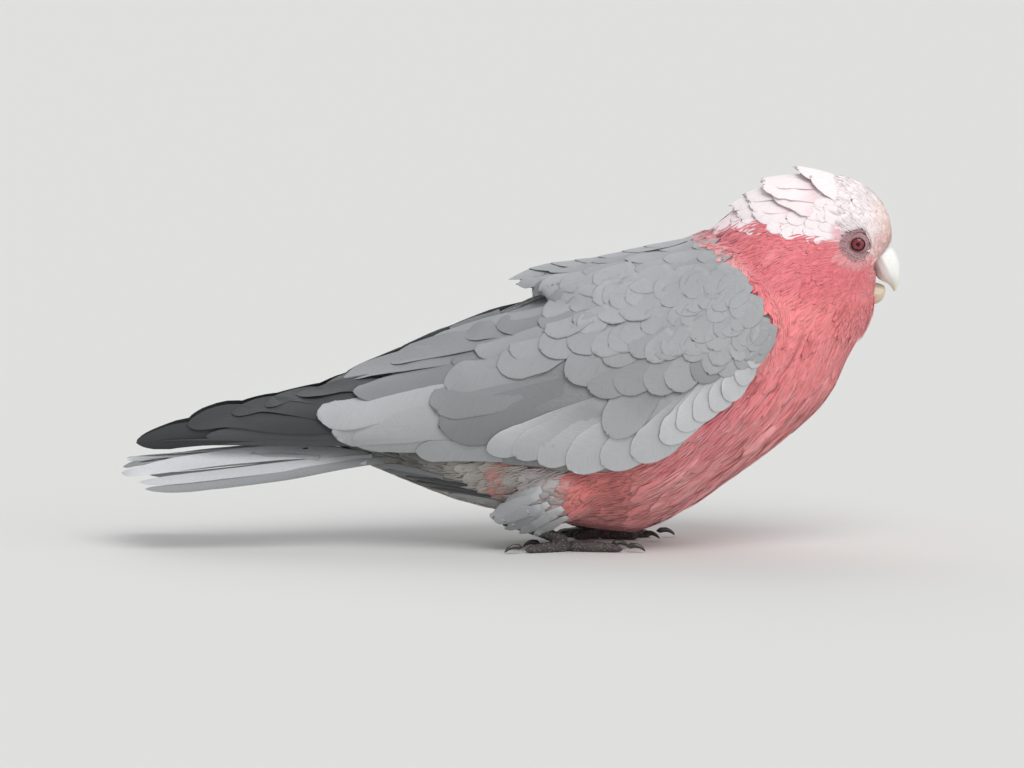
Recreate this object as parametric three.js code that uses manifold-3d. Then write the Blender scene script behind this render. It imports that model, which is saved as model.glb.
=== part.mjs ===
// A galah, life size: an adult female that stands low on the ground, her breast down and her head drawn in.
// +X is forward, +Y is her left and +Z is up, in millimetres. The origin is on the ground, under her middle.
import * as THREE from "three";
import { mergeVertices } from "three/addons/utils/BufferGeometryUtils.js";
import Module from "manifold-3d";

const wasm = await Module();
wasm.setup();

// ---------------------------------------------------------------- driving dimensions
const GAP = 0.3; // room between pieces that touch
const ROUND = 26; // faces round a large body
const EYE_RADIUS = 4.6;
const EYE_OPENING = 2.9; // radius of the opening between the lids
const EYE_AT = [145.2, 129.4]; // seen from the side
const COVERT_COAT = 4.4; // how far the wing's small feathers stand out from the trunk
const FLIGHT_COAT = 3; // the same for its inner flight feathers
const TIP_COAT = 1; // and for the feathers of its end
const TAIL_ARCH = 9.5; // how far the tail's edges hang below its middle
const HIP_Y = 22; // each leg's distance from the middle
const TOE_HEIGHT = 5;
const TOE_HALF_WIDTH = 2.4;
const CLAW_LENGTH = 8.5;
// Where each foot's ball and heel stand, forward of the origin: she is between two short steps.
const STANCE = { right: { ballX: 24, heelX: -4, heelZ: 14 }, left: { ballX: 37, heelX: 10, heelZ: 13.5 } };

// The body's cross sections, from the root of the tail over the trunk, neck and head to the forehead:
// [x and z on the back, nape or crown, x and z on the belly, breast or throat, half width].
const BODY = [
  [-78, 53, -78, 42, 8],
  [-60, 65, -60, 34, 17],
  [-44, 76.5, -44, 27.5, 24],
  [-24, 88.5, -24, 19.5, 31],
  [0, 100, 0, 13.5, 36.5],
  [24, 110, 25, 9, 40.5],
  [46, 118, 52, 5.6, 43],
  [62, 122.5, 76, 17, 43.5],
  [71.5, 125.2, 99, 33, 42],
  [79.5, 129.8, 120, 49, 39],
  [87, 136.4, 135, 65, 35.5],
  [96, 143.8, 141.5, 79.5, 32],
  [107.5, 150.6, 147.5, 89.5, 28.8],
  [119, 155, 151, 97, 26],
  [131, 157, 152.5, 103, 24],
  [143, 155.2, 152.8, 109, 22],
  [152.5, 149, 153.4, 114, 17],
  [158.4, 140.6, 155.4, 118.5, 12],
  [161.2, 131.5, 159, 124.5, 6.5],
];
const BODY_ENDS = [0.05, 0.07];
const CHEEK_SHARE = 0.12; // the face is wider below the eyes than above them by this share
const NECK_CUTS = [0.6, 0.69]; // where along the body the neck begins and ends
// The folded wing lies on the trunk's sides, and on a narrow tent where it runs on over the tail.
// Rows are [x, top, bottom, half width].
const WING_FORM = [
  [-158.5, 45.4, 42.6, 2.6],
  [-148, 50, 41.6, 6.5],
  [-134, 55.6, 40.5, 10.5],
  [-116, 59.2, 39.5, 14.5],
  [-94, 63.2, 37.5, 18.5],
  [-70, 69.6, 33.5, 23],
  [-46, 79.5, 28, 27.5],
  [-24, 89.5, 20, 32],
  [0, 101, 14, 37],
  [24, 111, 9.5, 41],
  [48, 120, 7, 43.5],
  [70, 125.8, 13, 44],
  [90, 136, 26, 42.5],
  [108, 141, 41, 39],
  [118, 140, 50, 36],
];
// The wing's edges as [x, z] seen from the side, from the shoulder to the tip.
const WING_LOWER = [
  [112.5, 97],
  [107, 82],
  [94, 67],
  [79, 54],
  [60, 40.6],
  [38, 34.6],
  [8, 36.6],
  [-34, 39.8],
  [-72, 43],
  [-110, 43.2],
  [-140, 43.2],
  [-156, 43.6],
];
const WING_UPPER = [
  [112.5, 102],
  [108, 110],
  [98, 117.5],
  [82, 120],
  [60, 118],
  [38, 114.2],
  [8, 103],
  [-34, 84.2],
  [-72, 68.6],
  [-110, 59.8],
  [-140, 53.4],
  [-156, 45.6],
];
// The planes where the small feathers give way to the flight feathers, and these to the long dark ones.
const FLIGHT_PART = { x: -16, z: 60, degrees: 28 };
const TIP_PART = { x: -75, z: 56, degrees: -14 };
// The shoulder feathers are a mantle over the back that lifts towards its tips:
// [x and degrees up at its outer edge, x and degrees up at its inner edge, lift].
const MANTLE = [
  [102, 30, 79, 88, 0.2],
  [86, 33, 69, 88, 0.8],
  [64, 37, 52, 88, 2.3],
  [44, 44, 34, 87, 5],
  [28, 53, 15, 85, 8.8],
  [14, 64, -1, 79, 11.2],
];
const MANTLE_COAT = 3.2;
// The tail, from under the rump to its tip: [x, top, bottom, half width].
const TAIL = [
  [-44, 50.5, 46, 13],
  [-60, 48.5, 44.2, 17.5],
  [-80, 45.2, 41.2, 20.5],
  [-110, 41.2, 37.4, 23],
  [-138, 38.8, 35.6, 25],
  [-156, 37.6, 35, 25.5],
  [-163.6, 36.8, 35, 23],
];
// The bill: its front and its cutting edge as [x, z], from forehead or chin to tip, and its half widths.
const BILL_UPPER = {
  front: [
    [153, 127.5],
    [159.2, 126.2],
    [162, 122.6],
    [163.2, 118.2],
    [163.2, 113.4],
    [162.4, 109.6],
    [161.2, 106.6],
  ],
  edge: [
    [147.5, 121],
    [150.6, 119],
    [152, 115.6],
    [154.4, 112.2],
    [157.8, 110.6],
    [159.6, 108.8],
    [160.6, 107],
  ],
  half: [8, 8.9, 8.8, 7.6, 5.1, 2.7, 1],
};
const BILL_LOWER = {
  front: [
    [145, 110.6],
    [149.6, 111.4],
    [153, 111],
    [155.6, 110.2],
    [157.6, 109],
  ],
  edge: [
    [145, 103.6],
    [149.4, 101.8],
    [152.8, 101.6],
    [155.4, 103],
    [157, 105.6],
  ],
  half: [5, 5.6, 5.4, 4.6, 3],
};
// The feathers of the lores end along a slope that leaves the sides of the bill free: the middle of that
// slope, the way out of it, its length and how far the room in front of it goes.
const LORE = { x: 156.4, z: 124.1, degrees: -49, length: 15, depth: 12 };
// The crest lies folded along the crown and nape as three tiers. Each runs back along the body from one share
// of its length to another, spreads this many degrees to each side and stands up this far at its tip.
const CREST = [
  { from: 0.9, to: 0.728, spread: 44, lift: 4.6 },
  { from: 0.82, to: 0.66, spread: 62, lift: 4.8 },
  { from: 0.74, to: 0.592, spread: 72, lift: 3 },
];
const CREST_OUTLINE = [0.5, 0.86, 1, 0.96, 0.78, 0.3]; // how wide a tier is from its root to its tip

const COLOURS = {
  rose: 0xdf7f86,
  cap: 0xf0dfdf,
  grey: 0xb2b4b7,
  slate: 0x4b4b50,
  tail: 0xc4c5ca,
  thigh: 0xa9a8a8,
  bill: 0xdfe0da,
  iris: 0x8f2f3a,
  foot: 0x6f6c6c,
  claw: 0x2b2a2b,
};

// ---------------------------------------------------------------- forms, lofts and plates
// A smooth curve through points [x, z], read by the number of the point and not by its length.
function curve(points) {
  return new THREE.SplineCurve(points.map(([x, z]) => new THREE.Vector2(x, z)));
}

// The same for a row of plain numbers.
function numbers(values) {
  const line = curve(values.map((value, i) => [i, value]));
  return (t) => line.getPoint(t).y;
}

// A form gives the point of its skin at t from end to end and at an angle round it: 0 is her left, turning up.
// Grow moves the whole skin outwards, cheek widens its lower half, and arch lets its sides hang.
function formBetween({ upper, lower, half, cheek = () => 0, arch = 0 }) {
  return (t, angle, grow = 0, scale = 1) => {
    const a = upper.getPoint(t);
    const b = lower.getPoint(t);
    const middle = a.clone().add(b).multiplyScalar(0.5);
    const up = a.clone().sub(middle);
    const reach = up.length();
    const rise = Math.sin(angle);
    const out = Math.cos(angle) * scale;
    const width = half(t) * (1 - cheek(t) * rise) + grow;
    const height = scale * (reach + grow) * rise - arch * out * out;
    up.multiplyScalar(height / reach).add(middle);
    return new THREE.Vector3(up.x, out * width, up.y);
  };
}

// A form with upright sections: rows of [along, upper, lower, half width] in a frame turned up by degrees.
function formOf(rows, { x = 0, z = 0, degrees = 0 } = {}, extras = {}) {
  const turn = THREE.MathUtils.degToRad(degrees);
  const [ahead, rise] = [Math.cos(turn), Math.sin(turn)];
  const place = (a, u) => [x + a * ahead - u * rise, z + a * rise + u * ahead];
  return formBetween({
    upper: curve(rows.map(([a, u]) => place(a, u))),
    lower: curve(rows.map(([a, , l]) => place(a, l))),
    half: numbers(rows.map((row) => row[3])),
    ...extras,
  });
}

// How wide a section is near a form's ends, which close as quarter ellipses over shares of its length.
function capped(t, [first, last]) {
  const near = Math.min(t / first, (1 - t) / last, 1);
  return Math.sqrt(Math.max(0, 1 - (1 - near) ** 2));
}

// Keeps only positions, joins the corners that meet, and turns the faces out if they point in.
function closed(geometry) {
  geometry.deleteAttribute("normal");
  geometry.deleteAttribute("uv");
  const merged = mergeVertices(geometry, 1e-3);
  const at = (i) => new THREE.Vector3().fromBufferAttribute(merged.attributes.position, i);
  const index = merged.index.array;
  let volume = 0;
  for (let i = 0; i < index.length; i += 3) {
    volume += at(index[i]).cross(at(index[i + 1])).dot(at(index[i + 2]));
  }
  if (volume < 0) index.reverse();
  return merged;
}

// Moves every corner of a geometry to where place(corner) says.
function reshaped(geometry, place) {
  const position = geometry.attributes.position;
  for (let i = 0; i < position.count; i += 1) {
    const p = place(new THREE.Vector3().fromBufferAttribute(position, i));
    position.setXYZ(i, p.x, p.y, p.z);
  }
  return closed(geometry);
}

// A closed body over a form: a sphere whose poles go to the form's two ends.
function loft(form, ends, rows, { round = ROUND, grow = 0 } = {}) {
  const sphere = new THREE.SphereGeometry(1, round, rows);
  return reshaped(sphere, (p) => {
    const t = Math.acos(THREE.MathUtils.clamp(p.y, -1, 1)) / Math.PI;
    return form(t, Math.atan2(p.z, -p.x), grow, capped(t, ends));
  });
}

// On a form with upright sections: the t at a given x.
function stationOf(form, x) {
  let low = 0;
  let high = 1;
  for (let i = 0; i < 40; i += 1) {
    const middle = (low + high) / 2;
    if (form(middle, 0).x < x) low = middle;
    else high = middle;
  }
  return low;
}

// The same with the angle on her left side at a given height.
function placeOn(form, [x, z]) {
  const station = stationOf(form, x);
  const top = form(station, Math.PI / 2).z;
  const bottom = form(station, -Math.PI / 2).z;
  const share = THREE.MathUtils.clamp((2 * z - top - bottom) / (top - bottom), -1, 1);
  return [station, Math.asin(share)];
}

// A curved plate on a form between two edges, each a list of [station, angle]. Inside and outside say how far
// its faces stand off the form at t along and q across, and spread widens it past its edges by a share.
function plateOn(form, lowerEdge, upperEdge, [alongCount, acrossCount], inside, outside, spread = 0) {
  const low = curve(lowerEdge);
  const high = curve(upperEdge);
  const box = new THREE.BoxGeometry(1, 1, 1, alongCount, acrossCount, 1);
  return reshaped(box, (p) => {
    const t = p.x + 0.5;
    const q = p.y + 0.5;
    const place = low.getPoint(t).lerp(high.getPoint(t), q + (q - 0.5) * spread);
    return form(place.x, place.y, p.z > 0 ? outside(t, q) : inside(t, q));
  });
}

// ---------------------------------------------------------------- cutting and joining
function solidOf(geometry) {
  return new wasm.Manifold(
    new wasm.Mesh({
      numProp: 3,
      vertProperties: Float32Array.from(geometry.attributes.position.array),
      triVerts: Uint32Array.from(geometry.index.array),
    }),
  );
}

// A solid as a geometry, without the loose slivers that a cut can leave.
function geometryOf(solid) {
  const [largest] = solid.decompose().sort((a, b) => b.volume() - a.volume());
  const mesh = largest.getMesh();
  return new THREE.BufferGeometry()
    .setAttribute("position", new THREE.BufferAttribute(Float32Array.from(mesh.vertProperties), 3))
    .setIndex(new THREE.BufferAttribute(Uint32Array.from(mesh.triVerts), 1));
}

function cut(geometry, ...cutters) {
  return geometryOf(cutters.reduce((whole, cutter) => whole.subtract(solidOf(cutter)), solidOf(geometry)));
}

function join(...geometries) {
  return geometryOf(geometries.map(solidOf).reduce((a, b) => a.add(b)));
}

function mirrored(geometry) {
  return closed(geometry.clone().scale(1, -1, 1));
}

// A block that holds everything from one distance to another along a direction turned up by some degrees.
function block(from, to, { x, z, degrees }) {
  const reach = 400;
  const box = new THREE.BoxGeometry(to - from, reach, reach).translate((from + to) / 2, 0, 0);
  return closed(box.rotateY(-THREE.MathUtils.degToRad(degrees)).translate(x, 0, z));
}

// All that lies before or behind a plane, with some room on its other side.
const FAR = 400;
const before = (plane, room = 0) => block(-room, FAR, plane);
const behind = (plane, room = 0) => block(-FAR, room, plane);

// ---------------------------------------------------------------- the bird
const galah = new THREE.Group();

function add(name, geometry, colour, roughness = 0.9) {
  const material = new THREE.MeshStandardMaterial({ color: colour, roughness, metalness: 0 });
  const mesh = new THREE.Mesh(geometry, material);
  mesh.name = name;
  galah.add(mesh);
  return mesh;
}

// The same piece on both sides: the left one as made, the right one as its mirror image.
function addPair(name, geometry, colour, roughness = 0.9) {
  add(`${name}_left`, geometry, colour, roughness);
  add(`${name}_right`, geometry, colour, roughness).scale.y = -1;
}

const bodyForm = formBetween({
  upper: curve(BODY.map(([x, z]) => [x, z])),
  lower: curve(BODY.map(([, , x, z]) => [x, z])),
  half: numbers(BODY.map((row) => row[4])),
  cheek: (t) => CHEEK_SHARE * THREE.MathUtils.smoothstep(t, ...NECK_CUTS),
});
const wingForm = formOf(WING_FORM);
const bodyLoft = (grow = 0) => loft(bodyForm, BODY_ENDS, 30, { grow });

// The plane of a cross section of the body.
function sectionPlane(t) {
  const top = bodyForm(t, Math.PI / 2);
  const bottom = bodyForm(t, -Math.PI / 2);
  const degrees = THREE.MathUtils.radToDeg(Math.atan2(bottom.x - top.x, top.z - bottom.z));
  return { x: bottom.x, z: bottom.z, degrees };
}

// How far from the middle the body's skin is at a point seen from the side.
function skinAt([x, z]) {
  const ray = new THREE.Raycaster(new THREE.Vector3(x, 200, z), new THREE.Vector3(0, -1, 0));
  return ray.intersectObject(new THREE.Mesh(bodyLoft()))[0].point.y;
}

function makeBill() {
  const formFrom = ({ front, edge, half }) =>
    formBetween({ upper: curve(front), lower: curve(edge), half: numbers(half) });
  const upper = (grow = 0) => loft(formFrom(BILL_UPPER), [0.05, 0.05], 12, { round: 12, grow });
  const lower = (grow = 0) => loft(formFrom(BILL_LOWER), [0.05, 0.12], 8, { round: 10, grow });
  return { upper: upper(), lower: cut(lower(), upper(GAP)), rooms: [upper(GAP), lower(GAP)] };
}

function makeLoreRoom() {
  const room = new THREE.BoxGeometry(LORE.depth, 60, LORE.length).translate(LORE.depth / 2, 0, 0);
  return closed(room.rotateY(-THREE.MathUtils.degToRad(LORE.degrees)).translate(LORE.x, 0, LORE.z));
}

function makeEye(grow = 0) {
  const depth = Math.sqrt(EYE_RADIUS ** 2 - EYE_OPENING ** 2);
  const [x, z] = EYE_AT;
  return closed(new THREE.SphereGeometry(EYE_RADIUS + grow, 12, 8)).translate(x, skinAt(EYE_AT) - depth, z);
}

// Head, neck and trunk are one body, parted by two thin cuts across the neck.
function addBody() {
  const bill = makeBill();
  const eyeRoom = makeEye(GAP);
  const [neckStart, neckEnd] = NECK_CUTS.map(sectionPlane);
  add("trunk", cut(bodyLoft(), before(neckStart)), COLOURS.rose);
  add("neck", cut(bodyLoft(), behind(neckStart, GAP), before(neckEnd), ...bill.rooms), COLOURS.rose);
  const rooms = [...bill.rooms, makeLoreRoom(), eyeRoom, mirrored(eyeRoom)];
  add("head", cut(bodyLoft(), behind(neckEnd, GAP), ...rooms), COLOURS.cap);
  add("bill_upper", bill.upper, COLOURS.bill, 0.45);
  add("bill_lower", bill.lower, COLOURS.bill, 0.5);
  addPair("eye", makeEye(), COLOURS.iris, 0.1);
}

function addCrest() {
  const tiers = CREST.map(({ from, to, spread, lift }) => {
    const edge = (side) =>
      CREST_OUTLINE.map((share, i) => [
        THREE.MathUtils.lerp(from, to, i / (CREST_OUTLINE.length - 1)),
        THREE.MathUtils.degToRad(90 + side * spread * share),
      ]);
    const inside = (t) => (t < 0.75 ? -1.5 : lift * t - 1.4);
    const outside = (t) => 0.9 + lift * t;
    return plateOn(bodyForm, edge(-1), edge(1), [6, 5], inside, outside);
  });
  add("crest", cut(join(...tiers), bodyLoft(GAP)), COLOURS.cap);
}

// One layer of the folded wing as a plate that thins to both its edges and to the shoulder.
function wingPlate(coat, grow = 0) {
  const edgeOf = (points) => points.map((point) => placeOn(wingForm, point));
  const inside = (t) => (t < 0.62 ? -3 : 0.2) - grow;
  const outside = (t, q) => {
    const across = Math.sqrt(Math.sin(Math.PI * THREE.MathUtils.clamp(q, 0.03, 0.97)));
    return 1 + coat * across * Math.min(1, 0.15 + 6 * t) + grow;
  };
  return plateOn(wingForm, edgeOf(WING_LOWER), edgeOf(WING_UPPER), [20, 6], inside, outside, grow / 20);
}

function addWings() {
  const body = bodyLoft(GAP);
  const coverts = cut(wingPlate(COVERT_COAT), body, behind(FLIGHT_PART));
  const flight = cut(wingPlate(FLIGHT_COAT), body, before(FLIGHT_PART, GAP), behind(TIP_PART));
  addPair("wing_coverts", coverts, COLOURS.grey);
  addPair("wing_flight", flight, COLOURS.grey);
  addPair("wing_tip", cut(wingPlate(TIP_COAT), body, before(TIP_PART, GAP)), COLOURS.slate, 0.7);

  const edgeOf = (column) =>
    MANTLE.map((row) => [stationOf(wingForm, row[column]), THREE.MathUtils.degToRad(row[column + 1])]);
  const rise = numbers(MANTLE.map((row) => row[4]));
  const lift = (t, q) => rise(t) * (0.4 + 0.6 * q);
  const inside = (t, q) => (t < 0.45 ? -3 : lift(t, q) - 0.2);
  const outside = (t, q) => {
    const across = 1 + MANTLE_COAT * (0.5 * Math.sin(Math.PI * q) + 1 - q);
    return lift(t, q) + across * Math.min(1, 0.5 + 4 * t) * (1 - 0.5 * t);
  };
  const mantle = plateOn(wingForm, edgeOf(0), edgeOf(2), [9, 5], inside, outside);
  addPair("mantle", cut(mantle, body, wingPlate(COVERT_COAT, GAP)), COLOURS.grey);
}

function addTail() {
  const tail = loft(formOf(TAIL, {}, { arch: TAIL_ARCH }), [0.06, 0.06], 10, { round: 16 });
  add("tail", cut(tail, bodyLoft(GAP)), COLOURS.tail, 0.7);
}

// One toe points along +X from the ball of the foot, flat underneath.
function toe(length) {
  const rows = [
    [-2, TOE_HEIGHT, -1, TOE_HALF_WIDTH],
    [length * 0.25, TOE_HEIGHT * 0.86, -1, TOE_HALF_WIDTH * 0.9],
    [length * 0.5, TOE_HEIGHT * 0.9, -1, TOE_HALF_WIDTH],
    [length * 0.75, TOE_HEIGHT * 0.72, -1, TOE_HALF_WIDTH * 0.8],
    [length, TOE_HEIGHT * 0.62, -0.6, TOE_HALF_WIDTH * 0.72],
  ];
  const form = formOf(rows);
  const flat = (...place) => {
    const p = form(...place);
    return p.setZ(Math.max(p.z, 0));
  };
  return loft(flat, [0.16, 0.16], 7, { round: 8 });
}

// A claw hooks down from a toe's end to the ground.
function claw() {
  const upper = [
    [-0.4, 4.2],
    [CLAW_LENGTH * 0.5, 4.3],
    [CLAW_LENGTH * 0.85, 2.6],
    [CLAW_LENGTH, 0.5],
  ];
  const lower = [
    [-0.4, 0.9],
    [CLAW_LENGTH * 0.45, 1.9],
    [CLAW_LENGTH * 0.75, 1.3],
    [CLAW_LENGTH * 0.97, 0.1],
  ];
  const half = numbers([1.3, 1.15, 0.8, 0.3]);
  const form = formBetween({ upper: curve(upper), lower: curve(lower), half });
  return loft(form, [0.08, 0.08], 6, { round: 6 });
}

// Two toes point forward and two back, as on every parrot: [name, length, turn from straight ahead].
const TOES = [
  ["inner_front", 18, 16],
  ["outer_front", 24, -10],
  ["inner_back", 12, 156],
  ["outer_back", 20, -158],
];

// A leg, made as the left one: feathered thigh, bare shank, foot and four claws.
function addLeg(side, { ballX, heelX, heelZ }) {
  const thighRows = [
    [-8, 11, -11, 8],
    [8, 16.5, -15, 15],
    [22, 12.5, -11, 12],
    [33, 6, -5, 5.4],
  ];
  const thighForm = formOf(thighRows, { x: heelX + 34, z: heelZ + 20, degrees: 216 });
  const thigh = (grow = 0) => loft(thighForm, [0.12, 0.14], 9, { round: 14, grow }).translate(0, HIP_Y, 0);
  const reach = Math.hypot(ballX - heelX, heelZ - 4);
  const slope = THREE.MathUtils.radToDeg(Math.atan2(4 - heelZ, ballX - heelX));
  const shankRows = [
    [-2.5, 3.4, -3.2, 3],
    [reach * 0.4, 2.5, -2.4, 2.3],
    [reach * 0.8, 2.6, -2.4, 2.5],
    [reach, 2.2, -2, 2.4],
  ];
  const shankForm = formOf(shankRows, { x: heelX, z: heelZ, degrees: slope });
  const shank = loft(shankForm, [0.14, 0.14], 8, { round: 10 }).translate(0, HIP_Y, 0);
  const turned = (geometry, degrees, from) =>
    geometry
      .translate(from, 0, 0)
      .rotateZ(THREE.MathUtils.degToRad(-degrees))
      .translate(ballX, HIP_Y, 0);
  const toes = TOES.map(([, length, degrees]) => turned(toe(length), degrees, 0));
  const foot = join(...toes);
  const pieces = [
    add(`thigh_${side}`, cut(thigh(), bodyLoft(GAP)), COLOURS.thigh),
    add(`shank_${side}`, cut(shank, thigh(GAP), bodyLoft(GAP), foot), COLOURS.foot, 0.7),
    add(`foot_${side}`, foot, COLOURS.foot, 0.7),
    ...TOES.map(([name, length, degrees]) =>
      add(`claw_${name}_${side}`, turned(claw(), degrees, length + GAP + 0.4), COLOURS.claw, 0.4),
    ),
  ];
  if (side === "right") pieces.forEach((piece) => (piece.scale.y = -1));
}

addBody();
addCrest();
addWings();
addTail();
addLeg("left", STANCE.left);
addLeg("right", STANCE.right);

// The origin goes under the middle of the whole bird.
const box = new THREE.Box3().setFromObject(galah);
const middle = box.getCenter(new THREE.Vector3());
galah.children.forEach((mesh) => mesh.position.sub(new THREE.Vector3(middle.x, middle.y, box.min.z)));

export default galah;
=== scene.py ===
import math
import bmesh
import bpy
import numpy as np
from mathutils import Matrix, Vector, noise
from mathutils.bvhtree import BVHTree
from mathutils.kdtree import KDTree


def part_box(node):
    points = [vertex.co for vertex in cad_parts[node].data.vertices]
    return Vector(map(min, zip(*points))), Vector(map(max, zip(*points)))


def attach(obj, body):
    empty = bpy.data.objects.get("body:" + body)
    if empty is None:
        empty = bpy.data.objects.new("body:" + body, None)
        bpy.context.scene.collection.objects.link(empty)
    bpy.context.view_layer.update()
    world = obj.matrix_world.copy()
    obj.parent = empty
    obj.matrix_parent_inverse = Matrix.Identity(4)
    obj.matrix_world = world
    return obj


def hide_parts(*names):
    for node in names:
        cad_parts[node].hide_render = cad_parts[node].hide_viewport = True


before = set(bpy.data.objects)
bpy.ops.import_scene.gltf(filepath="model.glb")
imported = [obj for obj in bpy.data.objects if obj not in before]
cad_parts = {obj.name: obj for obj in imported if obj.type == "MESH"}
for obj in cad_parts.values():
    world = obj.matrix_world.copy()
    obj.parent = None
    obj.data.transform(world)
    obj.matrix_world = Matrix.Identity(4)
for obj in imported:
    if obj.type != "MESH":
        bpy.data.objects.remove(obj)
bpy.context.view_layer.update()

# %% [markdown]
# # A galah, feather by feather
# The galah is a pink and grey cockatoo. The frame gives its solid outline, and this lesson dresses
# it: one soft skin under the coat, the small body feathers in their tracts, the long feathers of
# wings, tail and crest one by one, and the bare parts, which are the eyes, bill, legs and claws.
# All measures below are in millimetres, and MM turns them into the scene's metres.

MM = 0.001
SIDES = {"right": -1.0, "left": 1.0}  # the sign of y on each side


# %% [markdown]
# ## Shader sums as plain Python
# Feather, horn and skin each need a finish, and in Blender a finish is a web of nodes. It could be
# wired by hand, link by link, but long sums get hard to read. So one small class wraps a socket and
# lets it be added and multiplied with ordinary signs, and every other node comes from one method.

# %% Value and Finish
class Value:
    """A number that flows out of a node's socket."""

    def __init__(self, finish, socket):
        self.finish = finish
        self.socket = socket

    def sum(self, operation, *values):
        return self.finish.make("ShaderNodeMath", {"operation": operation}, values)

    def __add__(self, other):
        return self.sum("ADD", self, other)

    __radd__ = __add__

    def __sub__(self, other):
        return self.sum("SUBTRACT", self, other)

    def __rsub__(self, other):
        return self.sum("SUBTRACT", other, self)

    def __mul__(self, other):
        return self.sum("MULTIPLY", self, other)

    __rmul__ = __mul__

    def __truediv__(self, other):
        return self.sum("DIVIDE", self, other)

    def sine(self):
        return self.sum("SINE", self)

    def size(self):
        return self.sum("ABSOLUTE", self)

    def root(self):
        return self.sum("SQRT", self)

    def ramp(self, low, high):
        """0 below low, 1 above high, and smooth between them."""
        kind = {"interpolation_type": "SMOOTHSTEP"}
        return self.finish.make("ShaderNodeMapRange", kind, [self, low, high, 0.0, 1.0])


class Finish:
    """One material and the means to add nodes to it."""

    def __init__(self, name):
        self.material = bpy.data.materials.new(name)
        self.material.use_nodes = True
        self.tree = self.material.node_tree
        self.tree.nodes.clear()

    def make(self, kind, settings=None, inputs=None, output=0):
        node = self.tree.nodes.new(kind)
        for key, value in (settings or {}).items():
            setattr(node, key, value)
        pairs = inputs.items() if isinstance(inputs, dict) else enumerate(inputs or [])
        for key, value in pairs:
            if isinstance(value, Value):
                self.tree.links.new(value.socket, node.inputs[key])
            else:
                node.inputs[key].default_value = value
        return Value(self, node.outputs[output])

    def place(self):
        """The point on the bird, in metres."""
        return self.make("ShaderNodeTexCoord", output="Object")

    def parts(self, vector):
        split = self.make("ShaderNodeSeparateXYZ", inputs=[vector])
        return [Value(self, split.socket.node.outputs[i]) for i in range(3)]

    def joined(self, x, y, z=0.0):
        return self.make("ShaderNodeCombineXYZ", inputs=[x, y, z])

    def noise(self, vector, scale, detail=2.0):
        inputs = {"Vector": vector, "Scale": scale, "Detail": detail}
        return self.make("ShaderNodeTexNoise", inputs=inputs)

    def cells(self, vector, scale):
        return self.make("ShaderNodeTexVoronoi", inputs={"Vector": vector, "Scale": scale})

    def tint(self):
        """The colour that a mesh keeps at each of its points."""
        return self.make("ShaderNodeAttribute", {"attribute_name": "tint"}, output="Color")

    def blend(self, share, first, second, kind="MIX"):
        settings = {"data_type": "RGBA", "blend_type": kind}
        return self.make("ShaderNodeMix", settings, {0: share, 6: first, 7: second}, 2)

    def bump(self, height, depth, strength=1.0):
        inputs = {"Strength": strength, "Distance": depth, "Height": height}
        return self.make("ShaderNodeBump", inputs=inputs)

    def done(self, **inputs):
        """Closes the material with one Principled shader and its constants."""
        named = {key.replace("_", " "): value for key, value in inputs.items()}
        shader = self.make("ShaderNodeBsdfPrincipled", inputs=named)
        end = self.tree.nodes.new("ShaderNodeOutputMaterial")
        self.tree.links.new(shader.socket, end.inputs["Surface"])
        return self.material


def paint(red, green, blue):
    """A screen colour, 0 to 255, as the linear light that shaders work in."""
    return np.array([((c / 255 + 0.055) / 1.055) ** 2.4 for c in (red, green, blue)])


def rgba(colour):
    """The same colour with a fourth value, as a shader's input wants it."""
    return (*[float(c) for c in colour], 1.0)


print("shader kit ready")


# %% [markdown]
# ## Smooth forms to lay feathers on
# Under its coat a bird is one smooth body, while the frame's solids are faceted and divided into
# named parts. A subdivided copy of each would round the facets but keep the gaps between parts. So
# copies of the nodes are joined, turned into one closed surface with a voxel remesh, and smoothed.
# One form is the flesh: trunk, neck, head and thighs. Each folded wing is another. The last one is
# the flesh together with the wings' shoulders, for whatever runs across both.

# %% Helpers for meshes
WELD = 1e-6  # points closer than this, in metres, become one


def weld(mesh):
    """Merges points that lie at one place."""
    bmesh.ops.remove_doubles(mesh, verts=mesh.verts[:], dist=WELD)


def soften(mesh, rounds=1):
    """Moves every point halfway towards the middle of its neighbours."""
    for _ in range(rounds):
        bmesh.ops.smooth_vert(mesh, verts=mesh.verts[:], factor=0.5, use_axis_x=True,
                              use_axis_y=True, use_axis_z=True)


def add_to(whole, single):
    """Adds one bmesh to another, and frees it."""
    data = bpy.data.meshes.new("part")
    single.to_mesh(data)
    single.free()
    whole.from_mesh(data)
    bpy.data.meshes.remove(data)


def joined_copy(names):
    """One bmesh of several nodes, each with its loose triangles merged first."""
    whole = bmesh.new()
    for name in names:
        single = bmesh.new()
        single.from_mesh(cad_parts[name].data)
        weld(single)
        add_to(whole, single)
    return whole


def placed(name, data):
    """Puts a mesh, a lamp or a camera into the scene as an object at the origin."""
    piece = bpy.data.objects.new(name, data)
    bpy.context.scene.collection.objects.link(piece)
    return piece


def new_object(name, mesh, smooth=False):
    """Puts a bmesh into the scene, and frees it."""
    for face in mesh.faces:
        face.smooth = smooth
    data = bpy.data.meshes.new(name)
    mesh.to_mesh(data)
    mesh.free()
    return placed(name, data)


def keep_tint(data, colours):
    """Keeps one colour at each point of a mesh, for its finish to read."""
    full = np.ones((len(data.vertices), 4), np.float32)
    full[:, :3] = np.clip(colours.reshape(-1, 3), 0, 1)
    layer = data.attributes.new("tint", "FLOAT_COLOR", "POINT")
    layer.data.foreach_set("color", full.reshape(-1))


def dressed(piece, material, replaced=()):
    """Gives a piece its finish, hangs it on the root's empty, and hides the nodes that it replaces."""
    piece.data.materials.append(material)
    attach(piece, "root")
    if replaced:
        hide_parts(*replaced)
    return piece


print("mesh helpers ready")


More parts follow.
